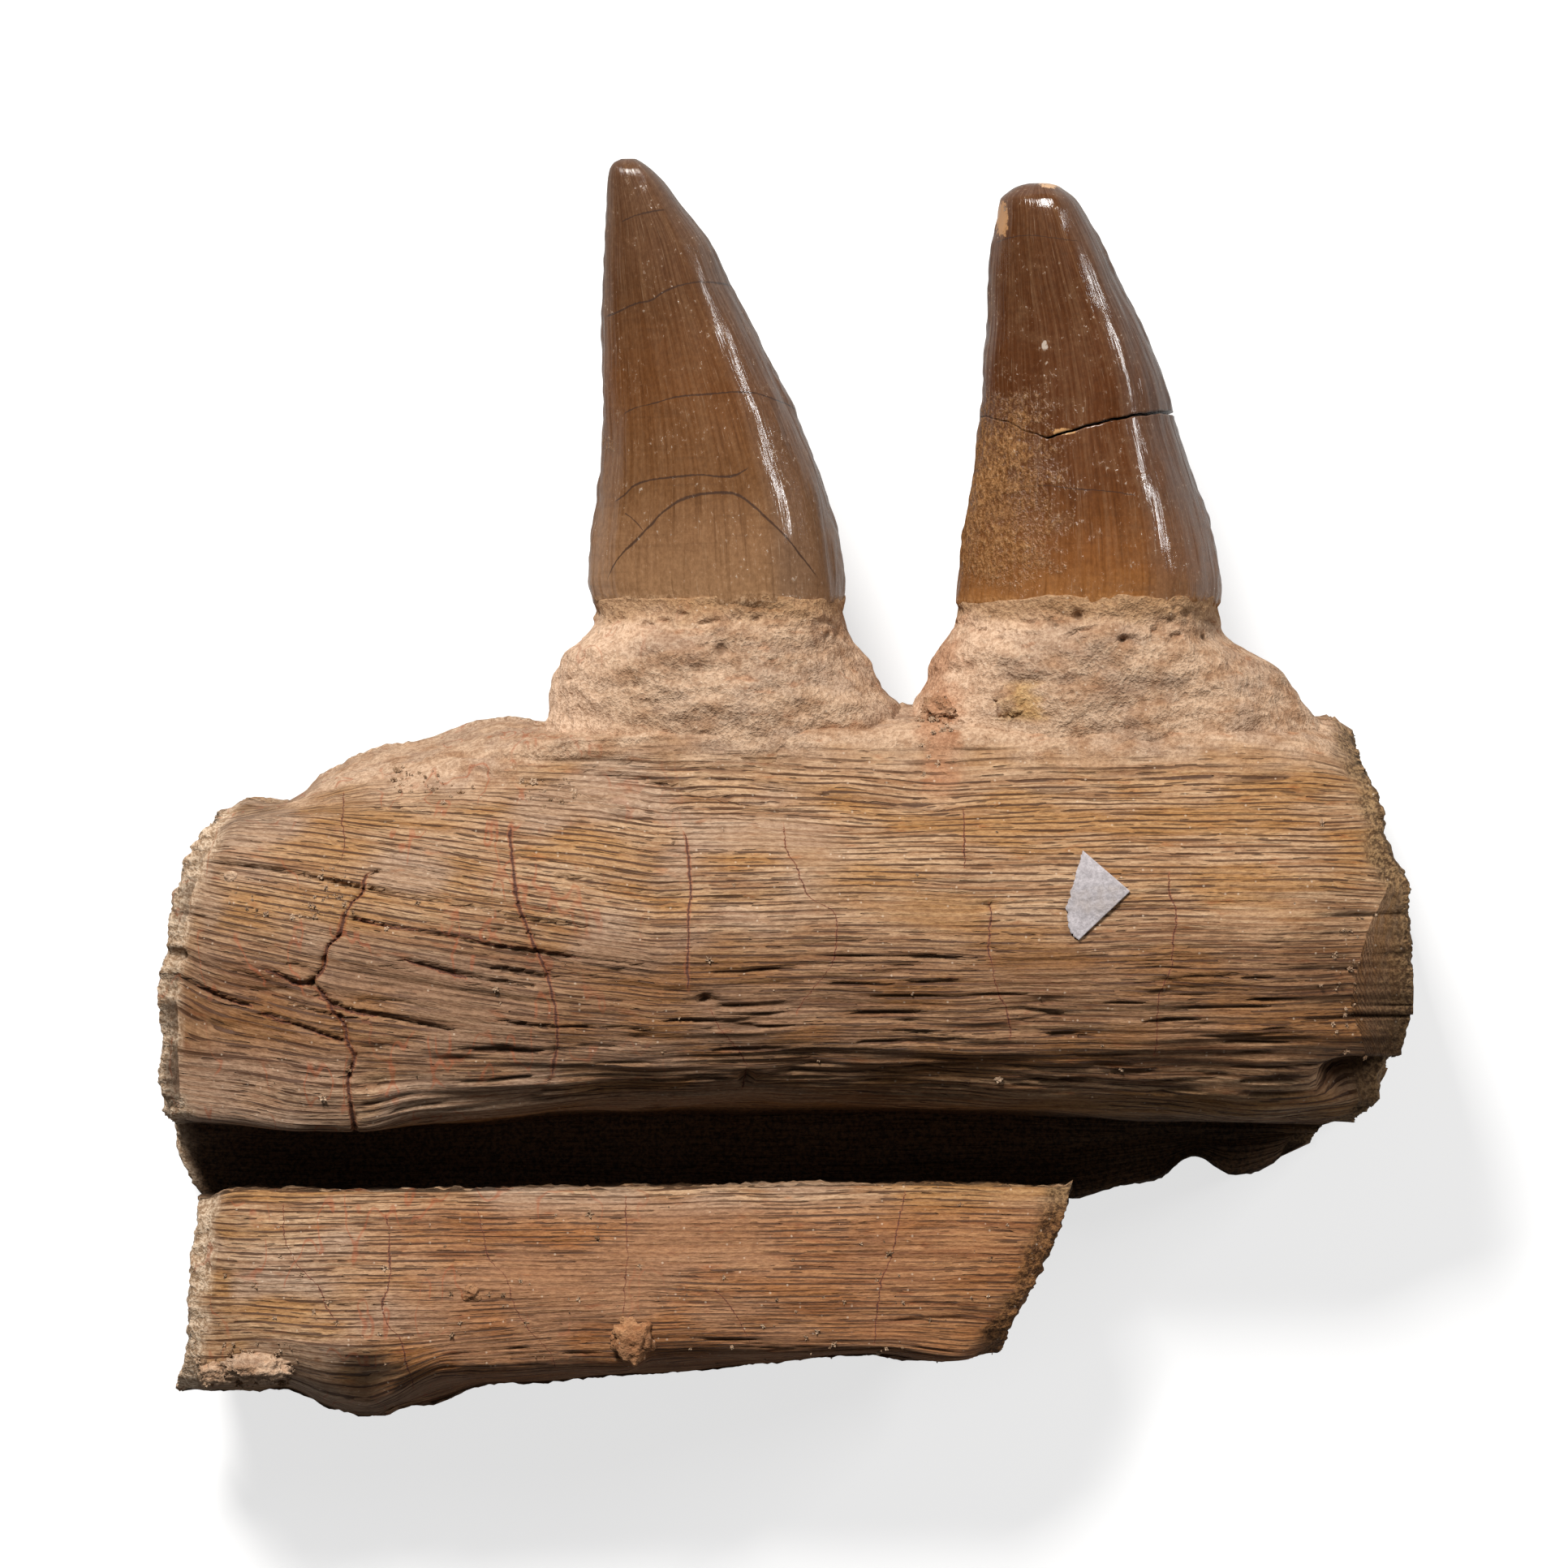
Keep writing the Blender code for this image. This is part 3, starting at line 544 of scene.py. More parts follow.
bar = {
    "lines": [
        [(-62.5, -2.5, 20), (-60, -1, 15), (-56.5, -1.5, 13), (-51, 2, 13), (-48, 3.7, 13),
         (-41.5, 5.2, 14), (-31, 7.7, 16), (-26.5, 7.2, 18), (-10, 7.7, 22), (13.5, 9, 22),
         (43.5, 8, 22), (61.5, 7.7, 20), (63.3, 6.2, 19)],
        [(-63, -3, 26), (-58, -2.4, 27), (-51, 0, 27), (-42, 2.6, 27), (-33, 4.4, 29),
         (-24, 5.3, 32), (-10, 6, 33), (13.5, 6.2, 31), (25.5, 6, 33), (43.5, 6, 33),
         (57, 5.3, 31.5), (64, 3.5, 27)],
        [(-63, -3.8, 30), (-51, -1.5, 30.5), (-42, 0, 31), (-33, 0.9, 31.5), (-10, 0.9, 33),
         (16.5, -0.1, 34), (30, 0.3, 35), (48, 0.5, 35), (57, 0.5, 34), (65, 0.1, 30.5)],
        [(-63, -4.8, 31.5), (-60, -3.2, 33), (-48.5, -2.8, 35.2), (-29, -2.8, 36),
         (-10, -3.4, 36.6), (12, -3.9, 36.8), (30, -3.5, 37.2), (48, -3.7, 37), (59, -3.7, 36),
         (65.4, -3.5, 33)],
        [(-64.2, -7.8, 32), (-60, -8, 36), (-46.5, -8.3, 38), (-24, -8.5, 38.8), (30, -8.5, 39.6),
         (57, -8.5, 39), (67, -9, 34.5)],
        [(-66, -14, 31.5), (-61.5, -14.5, 36), (-46.5, -15.4, 38.8), (-24, -16, 39.6), (30, -16, 40.4),
         (53.5, -16, 39.9), (64.2, -16, 35.8)],
        [(-67, -21.3, 31.2), (-61.5, -22.2, 35), (-46.5, -23, 37.6), (-24, -23.5, 38.2),
         (30, -23.5, 38.5), (53.5, -23.5, 37.8), (62.7, -23.3, 34.2)],
        [(-67, -29.4, 30), (-61.5, -29.4, 33.6), (-46.5, -29.8, 36.2), (-24, -29.4, 36.2),
         (3, -29, 35.8), (53.5, -29.2, 35), (64.3, -29.4, 30.5)],
        [(-66.5, -36.2, 27), (-60, -36.9, 30.6), (-52.5, -37.8, 31.6), (-46.5, -37.8, 31.6),
         (-40, -36.5, 31), (-31, -35.8, 30.2), (-19, -34.4, 29.6), (-6, -34.1, 29.2), (12, -34.4, 28.8),
         (30, -35.2, 27.8), (43.5, -35.9, 26.5), (53.5, -36.8, 25), (63.6, -35.9, 22)],
        [(-65.6, -37.3, 13), (-46.5, -37.7, 12), (-19, -36.5, 11.5), (12, -36.3, 11),
         (39, -37, 11), (63, -37.2, 11)]],
    "leftEnd": [(-62.7, -2.5), (-64.3, -4.8), (-66.2, -8.3), (-67.6, -13), (-68.5, -20.4),
                (-69, -24), (-68.9, -29.4), (-69.2, -31.7), (-68.2, -36.2), (-67.6, -41)],
    "rightEnd": [(63.3, 6.2), (63.4, 4), (65.3, 0), (66, -3.5), (67.2, -8), (69, -11.2),
                 (68.6, -16), (69.4, -23.3), (67.9, -29.6), (65.6, -35), (63.3, -36.8)],
    "rowSteps": [0.45, 0.4, 0.3, 0.25, 0.25, 0.25, 0.25, 0.25, 0.9], "columnStep": 1.0,
    "fine": [(-54, -44), (-31, -24.5)], "depths": 18, "backLift": 0.0, "backBottom": -33, "rim": 0.4,
}
wall = {
    "lines": [
        [(-65.4, -31, 12.5), (-46.5, -31, 12), (12, -31, 11.5), (64, -31, 10)],
        [(-65.2, -37.2, 14), (-46.5, -37.6, 13), (-19, -36.4, 12.5), (12, -36.2, 12),
         (39, -36.9, 12), (57.5, -37.7, 11)],
        [(-65, -40.6, 12.5), (-46.5, -41, 11.5), (-6, -41, 11), (30, -40.5, 11),
         (41, -39.5, 11), (48, -38.9, 11), (57.3, -38.4, 10)],
        [(-64.8, -45.6, 12), (-46.5, -46.3, 12), (-6, -46.3, 12), (32, -45.5, 12),
         (38.5, -44, 11), (42, -43.2, 11), (46, -40.8, 11), (50.3, -43, 11), (55, -41.6, 10),
         (56.5, -39.6, 9.5)]],
    "leftEnd": [(-68.9, -29.4), (-69.2, -31.7), (-68.2, -36.2), (-67.6, -41), (-65, -45.4)],
    "rightEnd": [(67.5, -31), (65.6, -35), (60, -37.5), (57, -42)],
    "rowSteps": [0.5, 0.5, 0.5], "columnStep": 0.9, "fine": [], "depths": 14, "backLift": 0.0,
    "backBottom": -99, "rim": 0.1,
}
flange = {
    "lines": [
        [(-64.6, -45.4, 23), (-60, -44.3, 27), (-46.5, -44.5, 28), (-6, -44, 28),
         (12, -43.8, 28), (31.8, -44.1, 25.5)],
        [(-64.3, -47.4, 24.5), (-60, -47.4, 28.4), (-24, -47.4, 29.4), (12, -47.4, 29),
         (31, -47.6, 26)],
        [(-65, -53.7, 24.5), (-60, -53.7, 28.4), (-24, -53.7, 29.4), (12, -53.7, 28.8),
         (27.8, -53.7, 26)],
        [(-66, -60.4, 23.5), (-60, -60.4, 27.4), (-46.5, -61, 28.4), (-24, -59.6, 28.4),
         (12, -59, 27.8), (24.8, -59.6, 25)],
        [(-67.2, -66, 19), (-64.3, -66, 21.5), (-56, -65.7, 23), (-50, -67.9, 22),
         (-46.5, -68.4, 20), (-43.5, -67.5, 23), (-37.5, -64.5, 26), (-17.5, -64, 26),
         (-14.5, -62.5, 26), (3, -62.2, 26.4), (11, -62, 26.4), (19.5, -63, 25), (23.9, -62.2, 20)],
        [(-67.6, -67.1, 13), (-60.5, -67.2, 12), (-56, -66.8, 12), (-50.5, -69.2, 12.5),
         (-46.7, -70, 14), (-45.2, -70, 14), (-43.5, -69.2, 12.4), (-39.5, -68.5, 11.4),
         (-33, -66.5, 11), (-16, -65.2, 11), (-0.5, -63.9, 11), (10, -63.1, 11),
         (17, -63.9, 11.2), (23.9, -62.8, 15)]],
    "leftEnd": [(-65, -45.4), (-65.7, -53), (-66.1, -55.5), (-66.2, -61), (-67.6, -66.6)],
    "rightEnd": [(31.8, -44.1), (30.3, -48.8), (27.6, -55.3), (24.8, -59.7), (23.9, -62.4)],
    "rowSteps": [0.25, 0.25, 0.25, 0.25, 0.5], "columnStep": 0.8, "fine": [], "depths": 18,
    "backLift": 0.8, "backBottom": -99, "rim": 0.1,
}
outerSide = {"flat": ((-50, 55), (-47, -7)), "top": (15, 6), "bottom": (19, 10), "ends": (18, 4),
             "power": 1.7, "thinnest": 2.5, "undercut": 1.5}
dents = [   # (centre, half sizes, depth)
    ((63, -32), (3.4, 1.9), 4.0), ((-8.6, -22.9), (0.9, 0.55), 1.2), ((22.5, -12.1), (0.35, 1.0), 0.8),
    ((-4.1, -31.8), (0.5, 0.8), 1.0), ((-67, -18.1), (1.0, 0.7), 1.4)]
upCracks, alongCracks = ([stops for width, stops in boneCracks[way]] for way in ("up", "along"))
carvings = [   # (half width, depth, line), the first ones in cracks that the look draws too
    (0.3, 0.7, upCracks[1]), (0.35, 0.6, upCracks[2]), (0.22, 0.4, upCracks[3]),
    (0.32, 0.6, alongCracks[0]), (0.32, 0.6, alongCracks[1]),
    (0.32, 0.6, alongCracks[2] + spots((560, 1268))), (0.3, 0.5, alongCracks[3]),
    (0.3, 0.5, alongCracks[4] + spots((600, 1162), (700, 1176))),
    (0.3, 0.5, alongCracks[5] + spots((660, 1214))),
    (0.35, 0.6, spots((270, 1062), (360, 1074), (440, 1090), (520, 1106), (620, 1122))),
    (0.35, 0.5, spots((690, 1080), (760, 1094), (850, 1104))),
    (0.4, 0.6, spots((540, 940), (600, 952), (680, 965), (760, 985), (830, 994))),
    (0.35, 0.6, spots((700, 950), (800, 962), (900, 984), (960, 990))),
    (0.35, 0.5, spots((860, 958), (960, 968), (1060, 986), (1170, 996))),
    (0.3, 0.5, spots((560, 925), (680, 938), (800, 944), (960, 955))),
    (0.35, 0.5, spots((1250, 962), (1400, 955), (1560, 966)))]

# The outer side's height: 0 where the jaw rests, rising with a power of the distance beyond
def outerHeight(x, y):
    o = outerSide
    (left, right), (bottom, top) = o["flat"]
    beyond = ((y - top, "top"), (bottom - y, "bottom"), (left - x, "ends"), (x - right, "ends"))
    return sum(o[side][1] * (np.maximum(d, 0) / o[side][0]) ** o["power"] for d, side in beyond)

# The x that a broken end reaches at each height y
def endReach(outline, y):
    x, heights = np.array(outline, float)[::-1].T
    return np.interp(y, heights, x)

# A slab [column, row, depth]: the inner sheet runs through the feature lines, with a cubic
# across them; the outer sheet lies behind it on outerHeight; both carry the relief
def makeSlab(name, shape, look, strength):
    reach = 66
    x = np.linspace(-reach, reach, 2000)
    inFine = sum(((x > low) & (x < high)) * 1.0 for low, high in shape["fine"])
    density = np.cumsum((1 + 2.4 * inFine) / shape["columnStep"] + 0 * x) * (x[1] - x[0])
    u = np.interp(np.linspace(density[0], density[-1], int(density[-1])), density, (x / reach + 1) / 2)
    lines = []
    for line in shape["lines"]:
        p = np.array(line, float)
        x = p[0, 0] + (p[-1, 0] - p[0, 0]) * u
        lines.append(np.column_stack([x, through(p[:, 0], p[:, 1:], x)]))
    lines = np.array(lines)
    gaps = np.linalg.norm(np.diff(lines, axis=0), axis=2).mean(1)
    counts = np.ceil(gaps / shape["rowSteps"]).astype(int)
    v = np.concatenate([k + np.arange(n) / n for k, n in enumerate(counts)] + [[len(gaps)]])
    front = through(np.arange(len(lines)), lines, v).transpose(1, 0, 2)

    o = outerSide
    left = endReach(shape["leftEnd"], front[0, :, 1])
    right = endReach(shape["rightEnd"], front[-1, :, 1])
    share = (front[..., 0] - front[0, :, 0]) / (front[-1, :, 0] - front[0, :, 0])
    back = front.copy()
    back[..., 0] = left + o["undercut"] + share * (right - left - 2 * o["undercut"])
    rise = outerHeight(back[..., 0], back[..., 1])
    tucked = 0.8 * ease(shape["backBottom"] + 1, shape["backBottom"], back[..., 1])
    back[..., 2] = np.minimum(rise + shape["backLift"] + tucked, front[..., 2] - o["thinnest"])

    frontGrain, backGrain = grainOnSheet(front), grainOnSheet(back) + [0, 200, 0]
    frontHeight, frontHollow = fibres(frontGrain, strength * wornShare(front))
    backHeight, backHollow = fibres(backGrain, strength)
    soft = porousShare(front)
    lumps = 0.35 * noise(front, 9, 3) + broadRidges(front) * 0.15
    frontHeight = frontHeight * (1 - 0.8 * soft) + lumps + soft * (0.3 * noise(front, 1.6, 21)
                                                                   + 0.15 * noise(front, 0.9, 22))
    toEnd = np.minimum(front[..., 0] - left, right - front[..., 0]) + 1.1 * noise(front, 2.6, 71)
    crumbled = ease(3.2, 1.4, toEnd)
    frontHeight = frontHeight * (1 - 0.6 * crumbled) + crumbled * (0.35 * noise(front, 1.4, 72) - 0.2)
    for (x, y), (halfX, halfY), deep in dents:
        away = ((front[..., 0] - x) / halfX) ** 2 + ((front[..., 1] - y) / halfY) ** 2
        frontHeight = frontHeight - deep * np.exp(-away ** 2)
        frontHollow = np.maximum(frontHollow, np.exp(-away ** 2) * 0.8)
    ragged = 0.12 * noise(front, 1.1, 91) + 0.12 * noise(front, 3, 92)
    for width, deep, stops in carvings:
        near = ease(width, 0.2 * width, lineDistance(front, stops) + ragged)
        near = near * ease(15, 20, front[..., 2])
        frontHeight = frontHeight - deep * near
        frontHollow = np.maximum(frontHollow, 0.75 * near)
    front = front - gridNormals(front) * frontHeight[..., None]
    # the resting patch stays level: its fibres only cut into it
    ridges = np.minimum(rise / 2, 1) * 0.8 * broadRidges(back + [20, 0, 0])
    lift = np.maximum(0.25 * strength + ridges - backHeight, 0)
    back[..., 2] = np.minimum(back[..., 2] + lift, front[..., 2] - 1)

    depth = np.linspace(0, 1, shape["depths"] + 1)[:, None] ** 1.6
    block = front[:, :, None] * (1 - depth) + back[:, :, None] * depth
    inner = slice(1, shape["depths"])
    leftEnd, rightEnd = block[0, :, inner], block[-1, :, inner]
    for end, x, seed in ((leftEnd, left, 31), (rightEnd, right, 45)):
        end[..., 0] = x[:, None] + 0.9 * spongy(end, seed)
        end[..., 1:] += 0.5 * np.stack([spongy(end, seed + 4), spongy(end, seed + 8)], -1)
    for row in (0, -1):
        rim = block[:, row, inner]
        rim[..., 1] += (0.7 if row == 0 else -0.5) * spongy(rim, 51 + row)

    broken = np.zeros(block.shape[:3])
    broken[[0, -1], :, inner] = 1
    broken[:, [0, -1], inner] = shape["rim"]
    broken[:, :, 0] = crumbled
    hollow = np.zeros(block.shape[:3])
    # hollow marks where the look paints shade: slots and cracks on both sides, dents, carvings, and 0.8
    # on the bottom faces, which look down
    hollow[:, :, 0], hollow[:, :, -1], hollow[:, -1, inner] = frontHollow * (1 - soft), backHollow, 0.8
    grain = grainPlace(block)
    grain[:, :, 0], grain[:, :, -1] = frontGrain, backGrain
    points, quads, shown = blockShell(block)
    values = {"grain": grain[shown], "hollow": hollow[shown], "porous": porousShare(points),
              "broken": broken[shown], "canalShade": inCanal(points)}
    pieceFrom(name, points, quads, values, look, ["jaw_bone"])
    return front

# How spongy the bone is: all of it near the teeth, fading into fibres at a ragged level
def porousShare(p):
    level = 3.6 + 2.0 * noise(p, (10, 4, 6), 61) + 1.3 * noise(p, (4, 1, 3), 62)
    level = level - 4.2 * ease(-20, -34, p[..., 0])
    return ease(level - 2.2, level + 2.2, p[..., 1])

# How far inside the canal a point is, where the look paints shade on the bone
def inCanal(p):
    x, y = p[..., 0], p[..., 1]
    across = ease(-33.5, -36, y) * ease(-47.5, -45, y)
    return ease(26, 19, p[..., 2]) * across * ease(64, 50, x) * ease(-67, -65, x)

# How strong the fibres are: fewer on the smooth upper face and on the block at the lower left,
# deeper on the lower half
def wornShare(p):
    x, y = p[..., 0], p[..., 1]
    block = ease(-46, -48, x) * ease(-26, -29, y) * ease(-45, -43, y)
    upper = ease(-2, -4, y) * ease(-11, -8, y)
    lower = ease(-17, -21, y) * ease(-40, -36, y)
    return 1 - 0.65 * block - 0.3 * upper + 0.25 * lower * (1 - block)

barFront = makeSlab("bar", bar, boneLook, 1.0)
makeSlab("outer_wall", wall, boneLook, 0.7)
flangeFront = makeSlab("flange", flange, boneLook, 0.45)

# The spongy pedestals: rings up the tooth's axis (height, left, right, middle, half depth)

pedestals = {
    "left_pedestal": [
        (0.4, -27.2, 17, 20, 12), (3, -26.8, 16.2, 20, 12.9), (6.2, -26.6, 15, 20, 13.2),
        (9.3, -26.2, 13.2, 20.3, 13.2), (11.6, -25.7, 11, 20.5, 13), (14.3, -24.8, 9.3, 20.7, 12.8),
        (17, -23.4, 8.1, 21, 12.5), (19.2, -21.7, 7.3, 21, 12.2), (21.5, -21.5, 7.1, 21, 12.0)],
    "right_pedestal": [
        (0.4, 11, 62.4, 20, 12), (3, 11.8, 61.8, 20, 12.9), (6.2, 12.4, 60.6, 20, 13.2),
        (8.6, 13.8, 58.6, 20.3, 13.2), (11.1, 15.3, 57, 20.5, 13), (12.9, 16.4, 55.5, 20.7, 12.9),
        (15.2, 16.9, 52.5, 20.8, 12.8), (17, 17.6, 50, 21, 12.6), (18.8, 18.4, 48.9, 21, 12.4),
        (21.5, 19.1, 48.7, 21, 12.3)],
}
pedestalMesh = {"rings": 96, "turns": 320, "roundness": 2.2, "lumps": 0.7, "grit": 0.35, "torn": 14,
                "holes": [(-6.8, 15.6, 0.9), (5.9, 17.4, 0.5), (32.5, 19.2, 0.6), (37.5, 16.5, 0.5)]}

# A closed ring: x and z are the signed powers 2/roundness of a circle's cosine and sine,
# and shift pushes the crest of its upper half to the right
def ringShape(turns, roundness, shift=0.0):
    turn = np.linspace(0, 2 * math.pi, turns, endpoint=False)
    across, deep = (np.sign(w) * np.abs(w) ** (2 / roundness) for w in (np.cos(turn), np.sin(turn)))
    return across + shift * np.maximum(deep, 0) * (1 - across ** 2), deep

# From left to right by a share that runs from -1 to 1
def spread(left, right, share):
    return (left + right) / 2 + share * (right - left) / 2

# Rings [ring, turn] at the heights y through an outline's rings
def ringsThrough(outline, y, shape):
    o = np.array(outline, float)
    left, right, middle, half = through(o[:, 0], o[:, 1:], y).T[:, :, None]
    x = spread(left, right, shape[0])
    return np.stack([x, np.broadcast_to(y[:, None], x.shape), middle + shape[1] * half], -1)

# A pedestal: rings whose section turns from its own into the crown's, pushed out by lumps, by
# cells with sharp hollows and by grit, up to a thin ragged edge on the enamel
def makePedestal(name, outline, crown):
    m = pedestalMesh
    y = np.linspace(outline[0][0], outline[-1][0], m["rings"])
    shape = ringShape(m["turns"], m["roundness"])
    rings = ringsThrough(outline, y, shape)
    crownShape = ringShape(m["turns"], crownMesh["roundness"], crownMesh["shift"])
    collar = ringsThrough(crown, np.maximum(y, crownMesh["foot"]), crownShape)
    collar[..., 1] = y[:, None]
    near = ease(14, 20.3, y)[:, None, None]
    rings = rings * (1 - near) + collar * near
    middle = rings.mean(1, keepdims=True)
    out = unit(rings - middle)
    cells = 1 - 2 * np.abs(noise(rings, 2.6, 71))
    height = m["lumps"] * noise(rings, 6.5, 72) + 0.35 * noise(rings, (4, 1.8, 4), 79)
    height = height + m["grit"] * (0.3 * cells - 0.2 + 0.5 * noise(rings, 1.3, 73))
    underEnamel = (ease(15.5, 17.5, y) * ease(20.6, 19.4, y))[:, None]
    pores = 0.6 * ease(0.6, 0.8, noise(rings, 1.3, 76))
    pores = pores + underEnamel * ease(0.2, 0.5, noise(rings, (2.2, 1, 2.2), 77))
    for x, up, half in m["holes"]:
        pores = pores + 2 * np.exp(-((rings[..., 0] - x) ** 2 + (rings[..., 1] - up) ** 2) / half ** 2)
    pores = pores * (rings[..., 2] > middle[..., 2])
    height = height - 0.5 * pores
    edge = ease(21.2, 19.8, y)[:, None]
    proud = 0.06 * (1 - edge) * ease(21.6, 21.2, y)[:, None]
    rings = rings + out * (height * (0.25 + 0.75 * edge) + proud)[..., None]
    torn = rings[-m["torn"]:]
    tornEdge = 0.7 * noise(torn, 6, 74) + 0.25 * noise(torn, 1.6, 78) - 0.2
    torn[..., 1] += tornEdge * np.linspace(0, 1, m["torn"])[:, None]
    top = capRings(rings[-1], 5, 0.2, 1.5, 75)
    points, faces = tubeShell(np.concatenate([rings, top]))
    dug = np.concatenate([height.ravel(), np.zeros(top.shape[0] * top.shape[1] + 2)])
    # painted light: the left flank of each ring is marked for a paler, lit colour
    litFlank = np.concatenate([np.tile(ease(0.45, 0.85, -shape[0]), len(rings) + len(top)), [0, 0]])
    none = np.zeros(len(points))
    values = {"grain": grainPlace(points), "hollow": ease(-0.2, -1.1, dug),
              "porous": porousShare(points), "broken": none, "canalShade": none, "litFlank": litFlank}
    pieceFrom(name, points, faces, values, boneLook, ["jaw_bone"])

leftCrown = [(14.6, -15.5, 1.2, 21, 7.5), (20.2, -20.6, 6.4, 21, 11.2), (20.9, -21.1, 6.8, 21, 11.6),
             (23.3, -21.6, 6.8, 21, 11.7), (26.5, -21.5, 6.5, 21.2, 11.5), (30, -21.1, 5.8, 21.4, 11.1),
             (33.6, -20.6, 4.8, 21.7, 10.4), (38, -20.2, 3, 22, 9.6), (42.6, -20.1, 1.1, 22.4, 8.7),
             (47, -20.2, -1.1, 22.8, 7.8), (51.6, -20.2, -3.4, 23.2, 6.8), (56, -20.1, -5.7, 23.7, 5.8),
             (60.6, -19.9, -8, 24.1, 4.7), (64.2, -19.6, -10.7, 24.4, 3.8), (67, -19.5, -12.8, 24.7, 2.9),
             (68.7, -19.3, -14.4, 24.9, 2.2), (69.6, -18.8, -15.6, 25, 1.4), (70, -18, -16.3, 25, 0.7)]
rightCrown = [(14.6, 25.2, 42.6, 21, 7.8), (20.2, 19.8, 48, 21, 11.6), (20.9, 19.3, 48.5, 21, 12),
              (23, 19.5, 48.6, 21, 12.1), (26, 19.7, 48.2, 21.2, 11.9), (29, 20.1, 47.6, 21.4, 11.5),
              (33.6, 20.9, 46.1, 21.7, 10.9), (38, 21.5, 44.5, 22, 10.2), (41.1, 21.9, 43.5, 22.2, 9.8),
              (43.2, 22.1, 43.1, 22.4, 9.5), (47, 22.2, 41.9, 22.7, 8.9), (51.6, 22.6, 39.9, 23.1, 8.1),
              (56, 22.8, 37.6, 23.5, 7.2), (60.6, 23.1, 35.4, 23.9, 6.2), (63.5, 23.7, 33.8, 24.2, 5.4),
              (65.5, 24, 32.5, 24.4, 4.6), (66.6, 25.3, 31.1, 24.5, 3.4), (67.1, 26.3, 30.3, 24.6, 2.4),
              (67.3, 27.2, 29.5, 24.6, 1.2)]
crownMesh = {"rings": 150, "turns": 150, "roundness": 1.85, "shift": 0.28, "foot": 20.9, "capRings": 14}
breakLine = [(18, 42.4), (21.7, 42), (24.8, 40.9), (26.7, 39.8), (29.1, 38.9), (31, 39.4),
             (34.6, 40.4), (39.1, 41.4), (42, 42), (46, 43)]
breakWidth = 0.35

makePedestal("left_pedestal", pedestals["left_pedestal"], leftCrown)
makePedestal("right_pedestal", pedestals["right_pedestal"], rightCrown)

# The crowns

# Growth lines and cracks of the enamel (half width in mm, line from left to right)
crownLines = {
    "left": [(0.16, spots((765, 275), (790, 265), (820, 260))),
             (0.16, spots((745, 390), (760, 385), (785, 375), (800, 372), (820, 360), (845, 352),
                          (880, 349), (905, 353))),
             (0.15, spots((765, 515), (780, 505), (800, 500), (840, 490), (880, 487), (920, 485),
                          (960, 495), (985, 505))),
             (0.17, spots((755, 620), (770, 610), (785, 597), (820, 590), (860, 587), (900, 588),
                          (925, 575))),
             (0.26, spots((744, 735), (750, 710), (765, 685), (785, 665), (800, 650), (820, 630),
                          (845, 615), (880, 609), (905, 610), (925, 622), (945, 640), (970, 665),
                          (990, 690), (1010, 715))),
             (0.13, spots((770, 633), (785, 645), (793, 655)))],
    "right": [(0.1, spots((1225, 300), (1260, 292), (1300, 296), (1330, 300))),
              (0.1, spots((1215, 610), (1260, 600), (1330, 604), (1400, 612)))],
}
